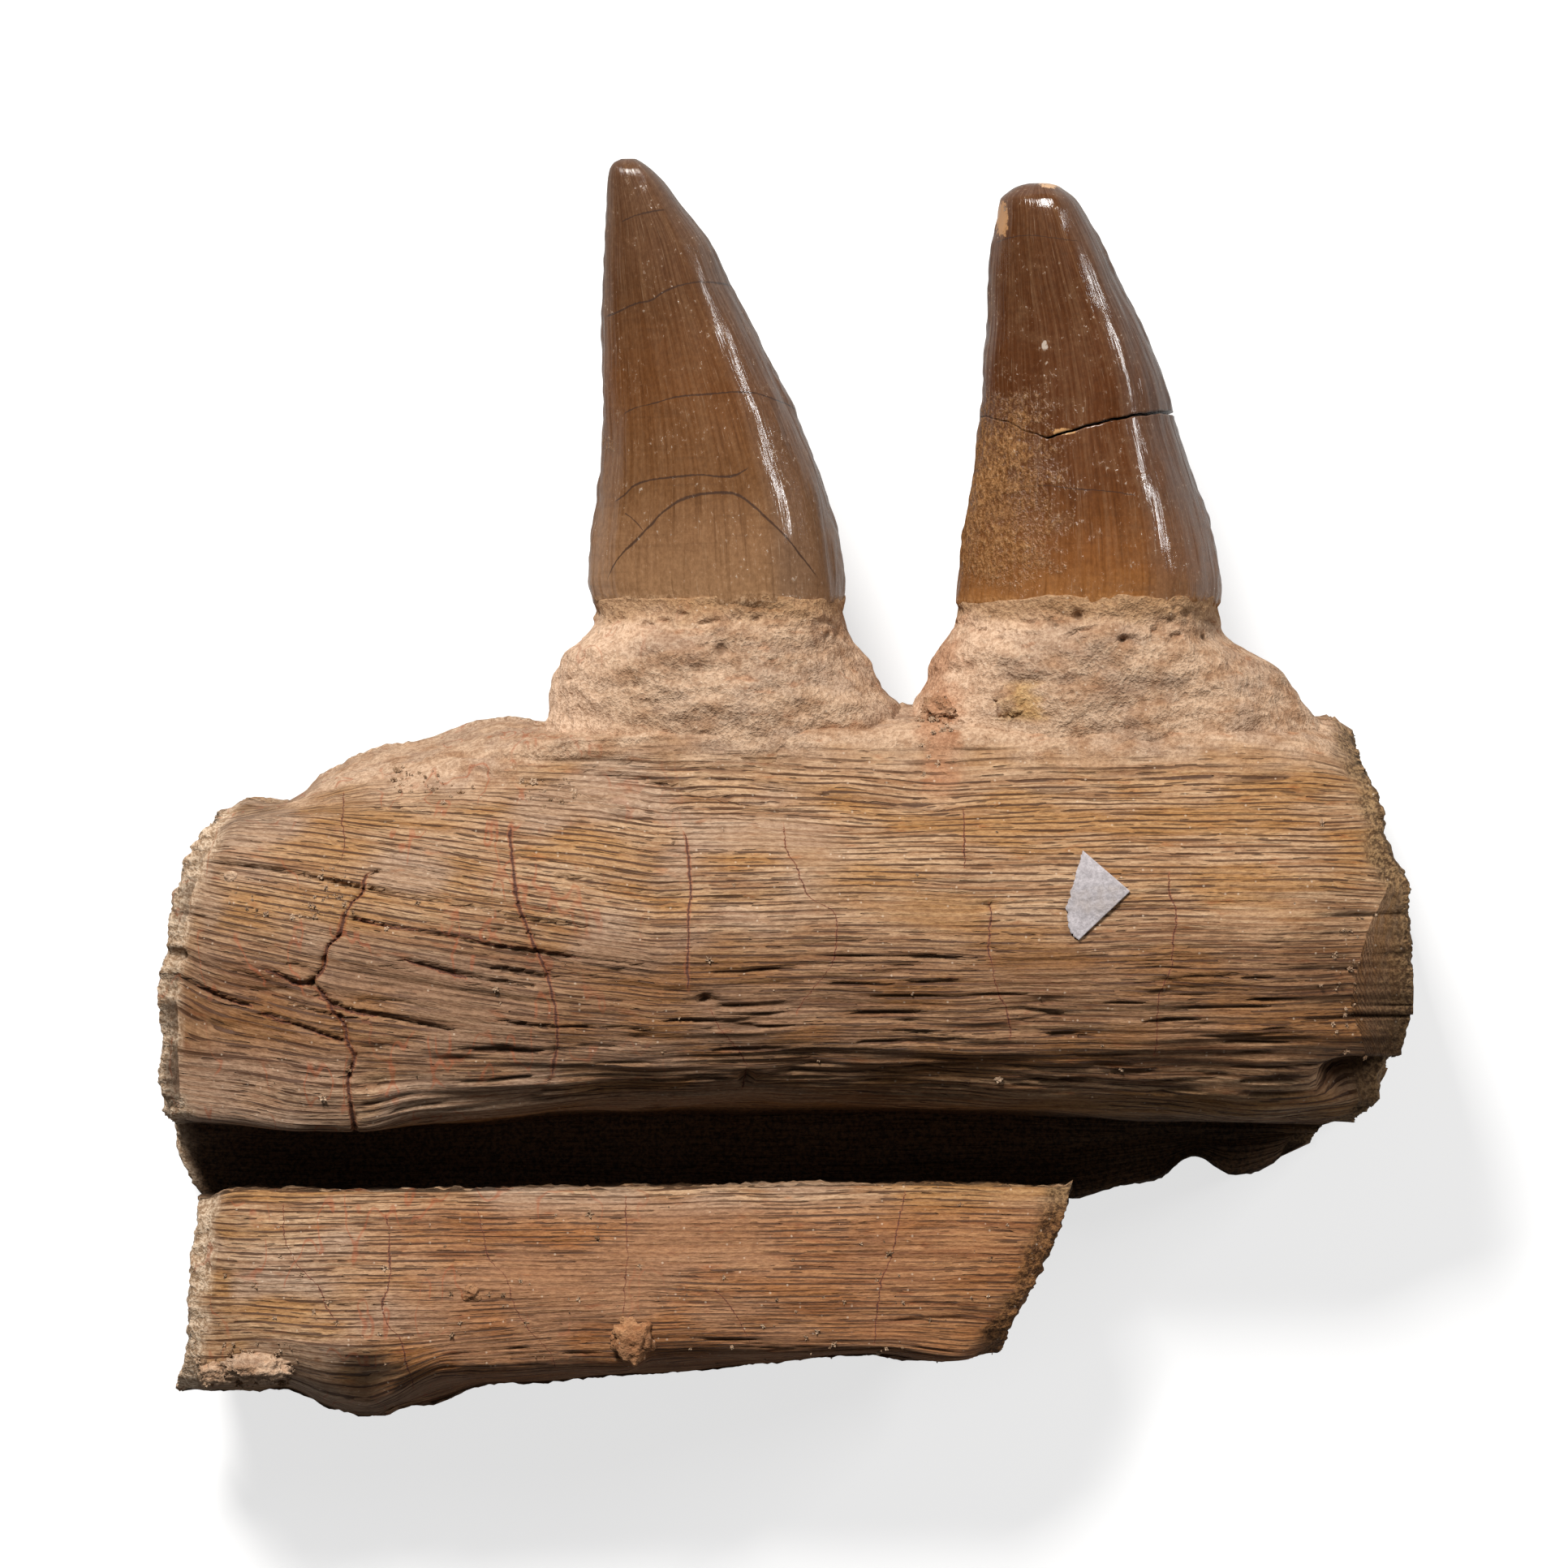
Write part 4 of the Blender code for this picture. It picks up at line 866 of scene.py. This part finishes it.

# The enamel's look: brown bands between the height stops, striae that run to the tip, dark
# growth lines, pale scuffs and specks, sandy crust where the mask says so, a painted sheen on
# the right facet and painted shade on the broken faces
def makeCrownLook(name, bands, lines, crust):
    look, tree, shader = newLook(name)
    place, along = inMm(tree), stored(tree, "enamel", "Vector")
    axes, across = split(place), split(along)[0]

    low, high = bands[0][0], bands[-1][0]
    cloud = noiseAt(place, (3.5, 2.2, 3.5), 3.0, 0.6)
    level = scaled(cloud, 6.0, maths("SUBTRACT", axes[1], 3.0))
    share = add("MapRange", {"Value": level, "From Min": low, "From Max": high}).outputs["Result"]
    ramp = add("ValToRGB", {0: share})
    elements = ramp.color_ramp.elements
    elements[0].position, elements[0].color = 0, colour(*bands[0][1])
    elements[1].position, elements[1].color = 1, colour(*bands[-1][1])
    for at, shade in bands[1:-1]:
        elements.new((at - low) / (high - low)).color = colour(*shade)
    tone = ramp.outputs[0]

    striae = noiseAt(along, (0.45, 12, 0.45), 2.0, 0.65)
    fine = noiseAt(along, (0.15, 4, 0.15))
    rings = noiseAt(along, (9, 0.5, 9))
    grit = noiseAt(place, (0.45, 0.7, 0.45), 3.0, 0.75)
    tone = tint(tone, step(striae, 0.4, 0.8), (0.30, 0.17, 0.085), 0.25)
    tone = tint(tone, step(striae, 0.5, 0.25), (0.05, 0.018, 0.006), 0.4)
    tone = tint(tone, step(cloud, 0.5, 0.75), (0.24, 0.13, 0.065), 0.2)
    tone = tint(tone, step(rings, 0.55, 0.75), (0.07, 0.03, 0.012), 0.2)
    # painted sheen: the right facet is greyed, a reflection of the pale surroundings
    facetSheen = times(step(across, 4.5, 6.5), 0.35)
    tone = tint(tone, facetSheen, (0.14, 0.09, 0.065))
    hair = times(step(fine, 0.66, 0.76), 0.35)
    tone = tint(tone, hair, (0.42, 0.30, 0.20))
    tone = mix(1.0, tone, mix(step(grit, 0.3, 0.7), (0.75, 0.71, 0.67), (1.03, 1.02, 1.01)), "MULTIPLY")

    edge = use(crackEdgeGroup, {"Small": grit, "Large": cloud, "Reach": 0.25})
    marks = allCracks(axes, edge, [("along", *line) for line in lines])
    marks = times(marks, step(axes[2], 20, 22))
    tone = tint(tone, step(marks, 0.1, 0.7), (0.04, 0.02, 0.013), 0.85)

    side = times(step(across, *crust["across"]), crust["share"])
    side = times(side, between(axes[1], crust["from"], crust["to"]))
    thick = scaled(cloud, 0.5, scaled(grit, 0.7, side))
    crustShare = step(thick, 0.72, 1.12)
    foot = step(scaled(cloud, 3.5, axes[1]), 23.6, 21.8)
    crustShare = maths("MAXIMUM", crustShare, times(foot, 0.85))
    tone = mix(crustShare, tone, mix(step(grit, 0.35, 0.65), *crust["tones"]))
    scuffs = times(step(grit, 0.61, 0.72), step(cloud, 0.44, 0.58))
    tone = tint(tone, scuffs, (0.50, 0.40, 0.31), 0.6)
    for (x, y), (halfX, halfY), shade in crust["spots"]:
        offX = maths("DIVIDE", maths("SUBTRACT", axes[0], x), halfX)
        offY = maths("DIVIDE", maths("SUBTRACT", axes[1], y), halfY)
        off = maths("ADD", times(offX, offX), times(offY, offY))
        off = scaled(grit, 4.0, maths("SUBTRACT", off, 2.0))
        tone = tint(tone, step(off, 1.2, 0.7), shade, 0.85)
    # painted shade: the broken faces in the crack are near-black
    tone = tint(tone, stored(tree, "cut"), (0.02, 0.009, 0.005))

    height = scaled(striae, 0.042, times(fine, 0.014))
    height = scaled(grit, scaled(crustShare, 0.3, 0.02), height)
    normal = relief(height)
    gloss = scaled(step(striae, 0.36, 0.56), 0.55, 0.35)      # the striae break the coat up
    give(shader, {"Base Color": tone, "Normal": normal, "Coat Normal": normal,
                  "Roughness": scaled(crustShare, 0.4, scaled(cloud, 0.2, 0.5), clamp=True),
                  "Specular IOR Level": 0.06, "Coat Roughness": 0.11, "Coat IOR": 1.6,
                  "Coat Weight": maths("SUBTRACT", gloss, crustShare, clamp=True)})
    return look

leftLook = makeCrownLook(
    "leftEnamel",
    [(20, (0.30, 0.165, 0.08)), (27, (0.24, 0.122, 0.056)), (33, (0.155, 0.068, 0.024)),
     (44, (0.135, 0.05, 0.014)), (56, (0.092, 0.036, 0.012)), (70, (0.10, 0.046, 0.022))],
    crownLines["left"],
    {"across": (-7, -12), "from": (31, 38), "to": (53, 41), "share": 0.14,
     "tones": ((0.13, 0.06, 0.025), (0.42, 0.27, 0.16)), "spots": []})
rightLook = makeCrownLook(
    "rightEnamel",
    [(20, (0.30, 0.125, 0.035)), (25, (0.21, 0.075, 0.018)), (33, (0.108, 0.034, 0.007)),
     (44, (0.09, 0.027, 0.006)), (56, (0.078, 0.025, 0.006)), (67, (0.088, 0.03, 0.008))],
    crownLines["right"],
    {"across": (3, -10), "from": (19, 26), "to": (50, 38), "share": 0.36,
     "tones": ((0.2, 0.08, 0.022), (0.37, 0.19, 0.078)),
     "spots": [((24.2, 63.4), (0.7, 1.9), (0.42, 0.21, 0.08)),
               ((29.7, 67.4), (1.4, 0.7), (0.62, 0.38, 0.21)),
               ((28.9, 49.1), (0.35, 0.6), (0.48, 0.40, 0.33)),
               ((31, 39.6), (1.2, 0.35), (0.50, 0.27, 0.11))]})

# A crown's surface: rings with a skewed lens section, sharp at both edges, roughened by low
# waves; the rings run between two heights that may differ from turn to turn, and caps says
# which of its ends, the lower and the upper, are broken faces
def makeCrown(name, outline, low, high, caps, look, node):
    m = crownMesh
    shape = ringShape(m["turns"], m["roundness"], m["shift"])
    o = np.array(outline, float)
    share = np.linspace(0, 1, m["rings"])[:, None]
    ends = []
    for reach in (low, high):
        x = np.zeros(m["turns"])
        for _ in range(8):
            end = reach(x, shape[1])
            x = spread(*through(o[:, 0], o[:, 1:3], end).T, shape[0])
        ends.append(end)
    y = ends[0] + (ends[1] - ends[0]) * share ** 0.95
    left, right, middle, half = through(o[:, 0], o[:, 1:], y.ravel()).T.reshape(4, *y.shape)
    rings = np.stack([spread(left, right, shape[0]), y, middle + shape[1] * half], -1)
    out = unit(rings - rings.mean(1, keepdims=True))
    room = np.minimum(half / 6, 1)
    edge = np.abs(shape[0]) > 0.97
    height = 0.22 * noise(rings, (4, 9, 4), 81) + 0.1 * noise(rings, (1.6, 5, 1.6), 82)
    height = height + edge * 0.14 * noise(rings, (1.5, 1.5, 1.5), 83)
    rings = rings + out * (height * room)[..., None]
    below = capRings(rings[0], m["capRings"] * caps[0], 0.1, 3, 84)[::-1]
    above = capRings(rings[-1], m["capRings"] * caps[1], 0.1, 3, 85)
    cut = np.repeat([1, 0, 1], [len(below), len(rings), len(above)])
    rings = np.concatenate([below, rings, above])
    points, faces = tubeShell(rings)
    cut = np.concatenate([np.repeat(cut, m["turns"]), [0, 0]])
    across = np.concatenate([np.tile(shape[0] * 12, len(rings)), [0, 0]])
    side = np.concatenate([np.tile(shape[1] * 9, len(rings)), [0, 0]])
    values = {"enamel": np.column_stack([across, points[:, 1], side]), "cut": cut}
    pieceFrom(name, points, faces, values, look, [node])

# A level end of a crown
def level(height):
    return lambda x, deep: np.full_like(x, height)

# The broken end: the break line, moved by half its width, which grows to the right, and lower
# towards the back
def atBreak(offset):
    xs, ys = np.array(breakLine).T
    return lambda x, deep: (
        np.interp(x, xs, ys) + 0.05 * np.sin(x * 2.3) + 0.03 * np.sin(x * 5.9) + 0.6 * deep - 0.5
        + offset * (0.12 + 0.65 * ease(27, 30, x) + 0.2 * ease(34, 42, x) + 0.6 * ease(41.8, 43.2, x)))

makeCrown("left_crown", leftCrown, level(leftCrown[0][0]), level(leftCrown[-1][0]), (False, False),
          leftLook, "left_tooth")
makeCrown("right_crown_base", rightCrown, level(rightCrown[0][0]), atBreak(-breakWidth / 2),
          (False, True), rightLook, "right_tooth_base")
makeCrown("right_crown_tip", rightCrown, atBreak(breakWidth / 2), level(rightCrown[-1][0]),
          (True, False), rightLook, "right_tooth_tip")
print("crowns made")

# Lumps of matrix that stick to the bone: (centre, half sizes)

matrixLumps = [((-16.6, -60.6, 28.2), (2.4, 2.6, 1.3)), ((-34.6, -55.5, 29), (1.1, 1, 0.6)),
               ((-60.7, -9.4, 35.6), (0.8, 0.7, 0.6)), ((18, 8.4, 26), (2.6, 2, 4)),
               ((25.8, 9.6, 31.6), (2.2, 1.9, 0.8)), ((-58.5, -64, 26.3), (3.6, 1.5, 1.2)),
               ((-62.6, -64.6, 25), (2.2, 1.2, 1.2)), ((-33.6, -20.6, 37.6), (0.9, 0.6, 0.6))]

# Each lump is a ball [turn, level] pushed in and out by noise, and flattened to its half sizes
def makeMatrix():
    turn = np.linspace(0, 2 * math.pi, 44, endpoint=False)
    level = np.linspace(-1, 1, 25)[1:-1, None] * math.pi / 2
    ball = np.stack([np.cos(level) * np.cos(turn), np.sin(level) + 0 * turn,
                     np.cos(level) * -np.sin(turn)], -1)
    points, faces, count = [], [], 0
    for centre, half in matrixLumps:
        size = max(half)
        knobbly = ball * size + centre
        bulge = 1 + 0.35 * noise(knobbly, 1.1 + size / 4, 101) + 0.3 * noise(knobbly, 0.7, 102)
        some, quads = tubeShell(ball * bulge[..., None] * half + centre)
        points.append(some)
        faces += [[k + count for k in face] for face in quads]
        count += len(some)
    points = np.concatenate(points)
    none = np.zeros(len(points))
    values = {"grain": grainPlace(points), "porous": none + 1, "litFlank": none, "hollow": none,
              "broken": none, "canalShade": none}
    pieceFrom("matrix_lumps", points, faces, values, boneLook, ["jaw_bone"])

makeMatrix()

# The torn corner of a paper label, which follows the bar under it

label = {"corners": [(32.9, -6.6), (38.1, -11.1), (32.4, -16.5), (31.5, -15.5), (31, -13.2),
                     (32.3, -8.7)],
         "around": 160, "rings": 22, "thick": 0.12, "clear": 0.1, "torn": 0.25}

# The paper's look: grey pulp with brown soil on it
def makePaperLook():
    look, tree, shader = newLook("labelPaper")
    place = inMm(tree)
    pulp = noiseAt(place, (0.5, 0.5, 0.5), 5.0, 0.75)
    soil = noiseAt(place, (3, 3, 3), 3.0)
    tone = mix(step(pulp, 0.35, 0.65), (0.33, 0.30, 0.31), (0.50, 0.46, 0.475))
    tone = tint(tone, step(soil, 0.5, 0.75), (0.42, 0.33, 0.26), 0.35)
    give(shader, {"Base Color": tone, "Normal": relief(times(pulp, 0.12)), "Roughness": 0.95})
    return look

# A closed leaf: rings that grow from the middle to the outline and shrink back above it, each
# point standing on the highest bone near it
def makeLabel():
    s = label
    corners = np.array(s["corners"] + s["corners"][:1], float)
    run = np.concatenate([[0], np.cumsum(np.linalg.norm(np.diff(corners, axis=0), axis=1))])
    at = np.linspace(0, run[-1], s["around"], endpoint=False)
    edge = np.stack([np.interp(at, run, corners[:, k]) for k in (0, 1)], -1)
    middle = edge.mean(0)
    tornSide = (at > run[2]) * 1.0
    where = np.column_stack([edge, at])
    wave = noise(where, 0.7, 91) + 0.6 * noise(where, 0.3, 92)
    edge = edge + (edge - middle) / 4 * (s["torn"] * tornSide * wave)[:, None]
    share = np.linspace(0.06, 1, s["rings"])[:, None, None]
    flat = middle + (edge - middle) * share
    near = barFront.reshape(-1, 3)
    near = near[(np.abs(near[:, :2] - middle) < 9).all(1)]
    away = np.linalg.norm(flat.reshape(-1, 1, 2) - near[None, :, :2], axis=2)
    ground = np.where(away < 0.9, near[:, 2], -99).max(1).reshape(flat.shape[:2])
    for _ in range(4):
        ground = (ground + np.roll(ground, 1, 1) + np.roll(ground, -1, 1)) / 3
    low = np.dstack([flat, ground + s["clear"]])
    high = np.dstack([flat, ground + s["clear"] + s["thick"]])
    rings = np.concatenate([low, high[::-1]])
    points, faces = tubeShell(rings)
    pieceFrom("label", points, faces, {}, makePaperLook(), ["label_scrap"])

makeLabel()

# Sand grains and scraps of matrix stuck to the bone

grains = {"zones": [((-61, -47), (-14, -8.6), 110), ((-43, -38), (-0.5, 2.5), 70),
                    ((-38, -20), (-2, 1), 60), ((-65, -54), (-66, -61), 160),
                    ((15, 19), (0, 10), 60), ((60, 66), (-33, -12), 70), ((-66, 28), (-64, -46), 170),
                    ((-60, 64), (-34, -3), 90)],
          "sizes": (0.1, 0.6), "seed": 7}
golden = (1 + 5 ** 0.5) / 2
ballPoints = np.array([(0, a, b * golden) for a in (-1, 1) for b in (-1, 1)]
                      + [(a, b * golden, 0) for a in (-1, 1) for b in (-1, 1)]
                      + [(b * golden, 0, a) for a in (-1, 1) for b in (-1, 1)]) / 1.9

# The faces of a solid whose points all lie on its hull: each trio of points 1 edge apart
def hullFaces(points, edge):
    faces = []
    for a in range(len(points)):
        for b in range(a + 1, len(points)):
            for c in range(b + 1, len(points)):
                trio = points[[a, b, c]]
                if all(abs(np.linalg.norm(trio[i] - trio[i - 1]) - edge) < 0.01 for i in range(3)):
                    outward = np.cross(trio[1] - trio[0], trio[2] - trio[0]) @ trio.sum(0) > 0
                    faces.append([a, b, c] if outward else [a, c, b])
    return np.array(faces)

# The grains' look: each from brown to pale by its own shade, with a fine grit
def makeGrainLook():
    look, tree, shader = newLook("sandGrains")
    grit = noiseAt(inMm(tree), (0.25, 0.25, 0.25), 3.0)
    tone = mix(stored(tree, "shade"), (0.20, 0.11, 0.055), (0.55, 0.41, 0.29))
    tone = tint(tone, grit, (0.40, 0.22, 0.10), 0.4)
    give(shader, {"Base Color": tone, "Normal": relief(times(grit, 0.08)), "Roughness": 0.8})
    return look

# Each grain is a ball of 20 faces, squeezed and turned at random and half sunk in the bone
def makeGrains():
    s = grains
    draw = np.random.default_rng(s["seed"])
    ball = ballPoints
    faces = hullFaces(ball, np.linalg.norm(ball[0] - ball[1]))
    ground = np.concatenate([barFront.reshape(-1, 3), flangeFront.reshape(-1, 3)])
    spotsFound = []
    for (x0, x1), (y0, y1), count in s["zones"]:
        inside = (ground[:, 0] > x0) & (ground[:, 0] < x1) & (ground[:, 1] > y0) & (ground[:, 1] < y1)
        spotsFound.append(draw.choice(ground[inside], count))
    centres = np.concatenate(spotsFound)
    centres[:, :2] += draw.uniform(-0.4, 0.4, (len(centres), 2))
    small, large = s["sizes"]
    size = small + (large - small) * draw.random(len(centres)) ** 3
    centres[:, 2] -= 0.3 * size
    turns = np.linalg.qr(draw.normal(size=(len(centres), 3, 3)))[0]
    turns *= np.sign(np.linalg.det(turns))[:, None, None]
    squeeze = draw.uniform(0.6, 1.3, (len(centres), 1, 3)) * size[:, None, None]
    points = (ball[None] * squeeze) @ turns + centres[:, None]
    allFaces = (faces[None] + 12 * np.arange(len(centres))[:, None, None]).reshape(-1, 3)
    shade = np.repeat(draw.random(len(centres)) ** 0.7, 12)
    piece = pieceFrom("sand_grains", points.reshape(-1, 3), allFaces.tolist(), {"shade": shade},
                      makeGrainLook(), ["jaw_bone"])
    piece.data.shade_flat()

makeGrains()

# The floor, the lights and the camera

studio = {"floor": 6.0, "height": 1.55, "frameWidth": 173.9 * mm, "aim": (0.00009, 0.00068, 0.025),
          "sensor": 36.0}

# A square floor, grey for the light that falls on it and glowing only where the camera sees it
def makeFloor():
    s = studio["floor"] / 2
    mesh = bpy.data.meshes.new("floor")
    mesh.from_pydata([(-s, -s, 0), (s, -s, 0), (s, s, 0), (-s, s, 0)], [], [(0, 1, 2, 3)])
    look, tree, shader = newLook("paleFloor")
    seen = add("LightPath", {}, tree).outputs["Is Camera Ray"]
    give(shader, {"Base Color": colour(0.42, 0.42, 0.42), "Roughness": 0.9, "Specular IOR Level": 0.1,
                  "Emission Color": colour(1, 1, 1), "Emission Strength": times(seen, 0.7)})
    mesh.materials.append(look)
    placed("floor", mesh)

# An area light a given way off in a direction, turned to the jaw
def makeLight(name, direction, distance, size, power, shade):
    way = np.array(direction, float)
    way /= np.linalg.norm(way)
    data = bpy.data.lights.new(name, "AREA")
    data.shape = "RECTANGLE"
    data.size, data.size_y = size
    data.energy = power
    data.color = shade
    light = placed(name, data)
    light.location = way * distance
    light.rotation_euler = light.location.to_track_quat("Z", "Y").to_euler()

# A camera straight above, whose frame is frameWidth wide at the height of the aim
def makeCamera():
    s = studio
    data = bpy.data.cameras.new("camera")
    data.sensor_width = s["sensor"]
    data.lens = s["sensor"] * (s["height"] - s["aim"][2]) / s["frameWidth"]
    data.clip_start, data.clip_end = 0.01, 20
    camera = placed("camera", data)
    camera.location = (*s["aim"][:2], s["height"])
    bpy.context.scene.camera = camera

makeFloor()
makeLight("key", (-0.26, 0.64, 0.7), 1.3, (0.32, 0.32), 25, (1, 0.98, 0.95))
makeLight("side", (0.78, 0.38, 0.5), 1.0, (0.4, 0.06), 3.4, (1, 1, 1))
world = bpy.data.worlds.new("studio")
world.use_nodes = True
give(world.node_tree.nodes["Background"], {"Color": colour(1, 1, 1), "Strength": 0.095})
bpy.context.scene.world = world
bpy.context.scene.view_settings.view_transform = "Standard"
makeCamera()
print("stage, lights and camera set")
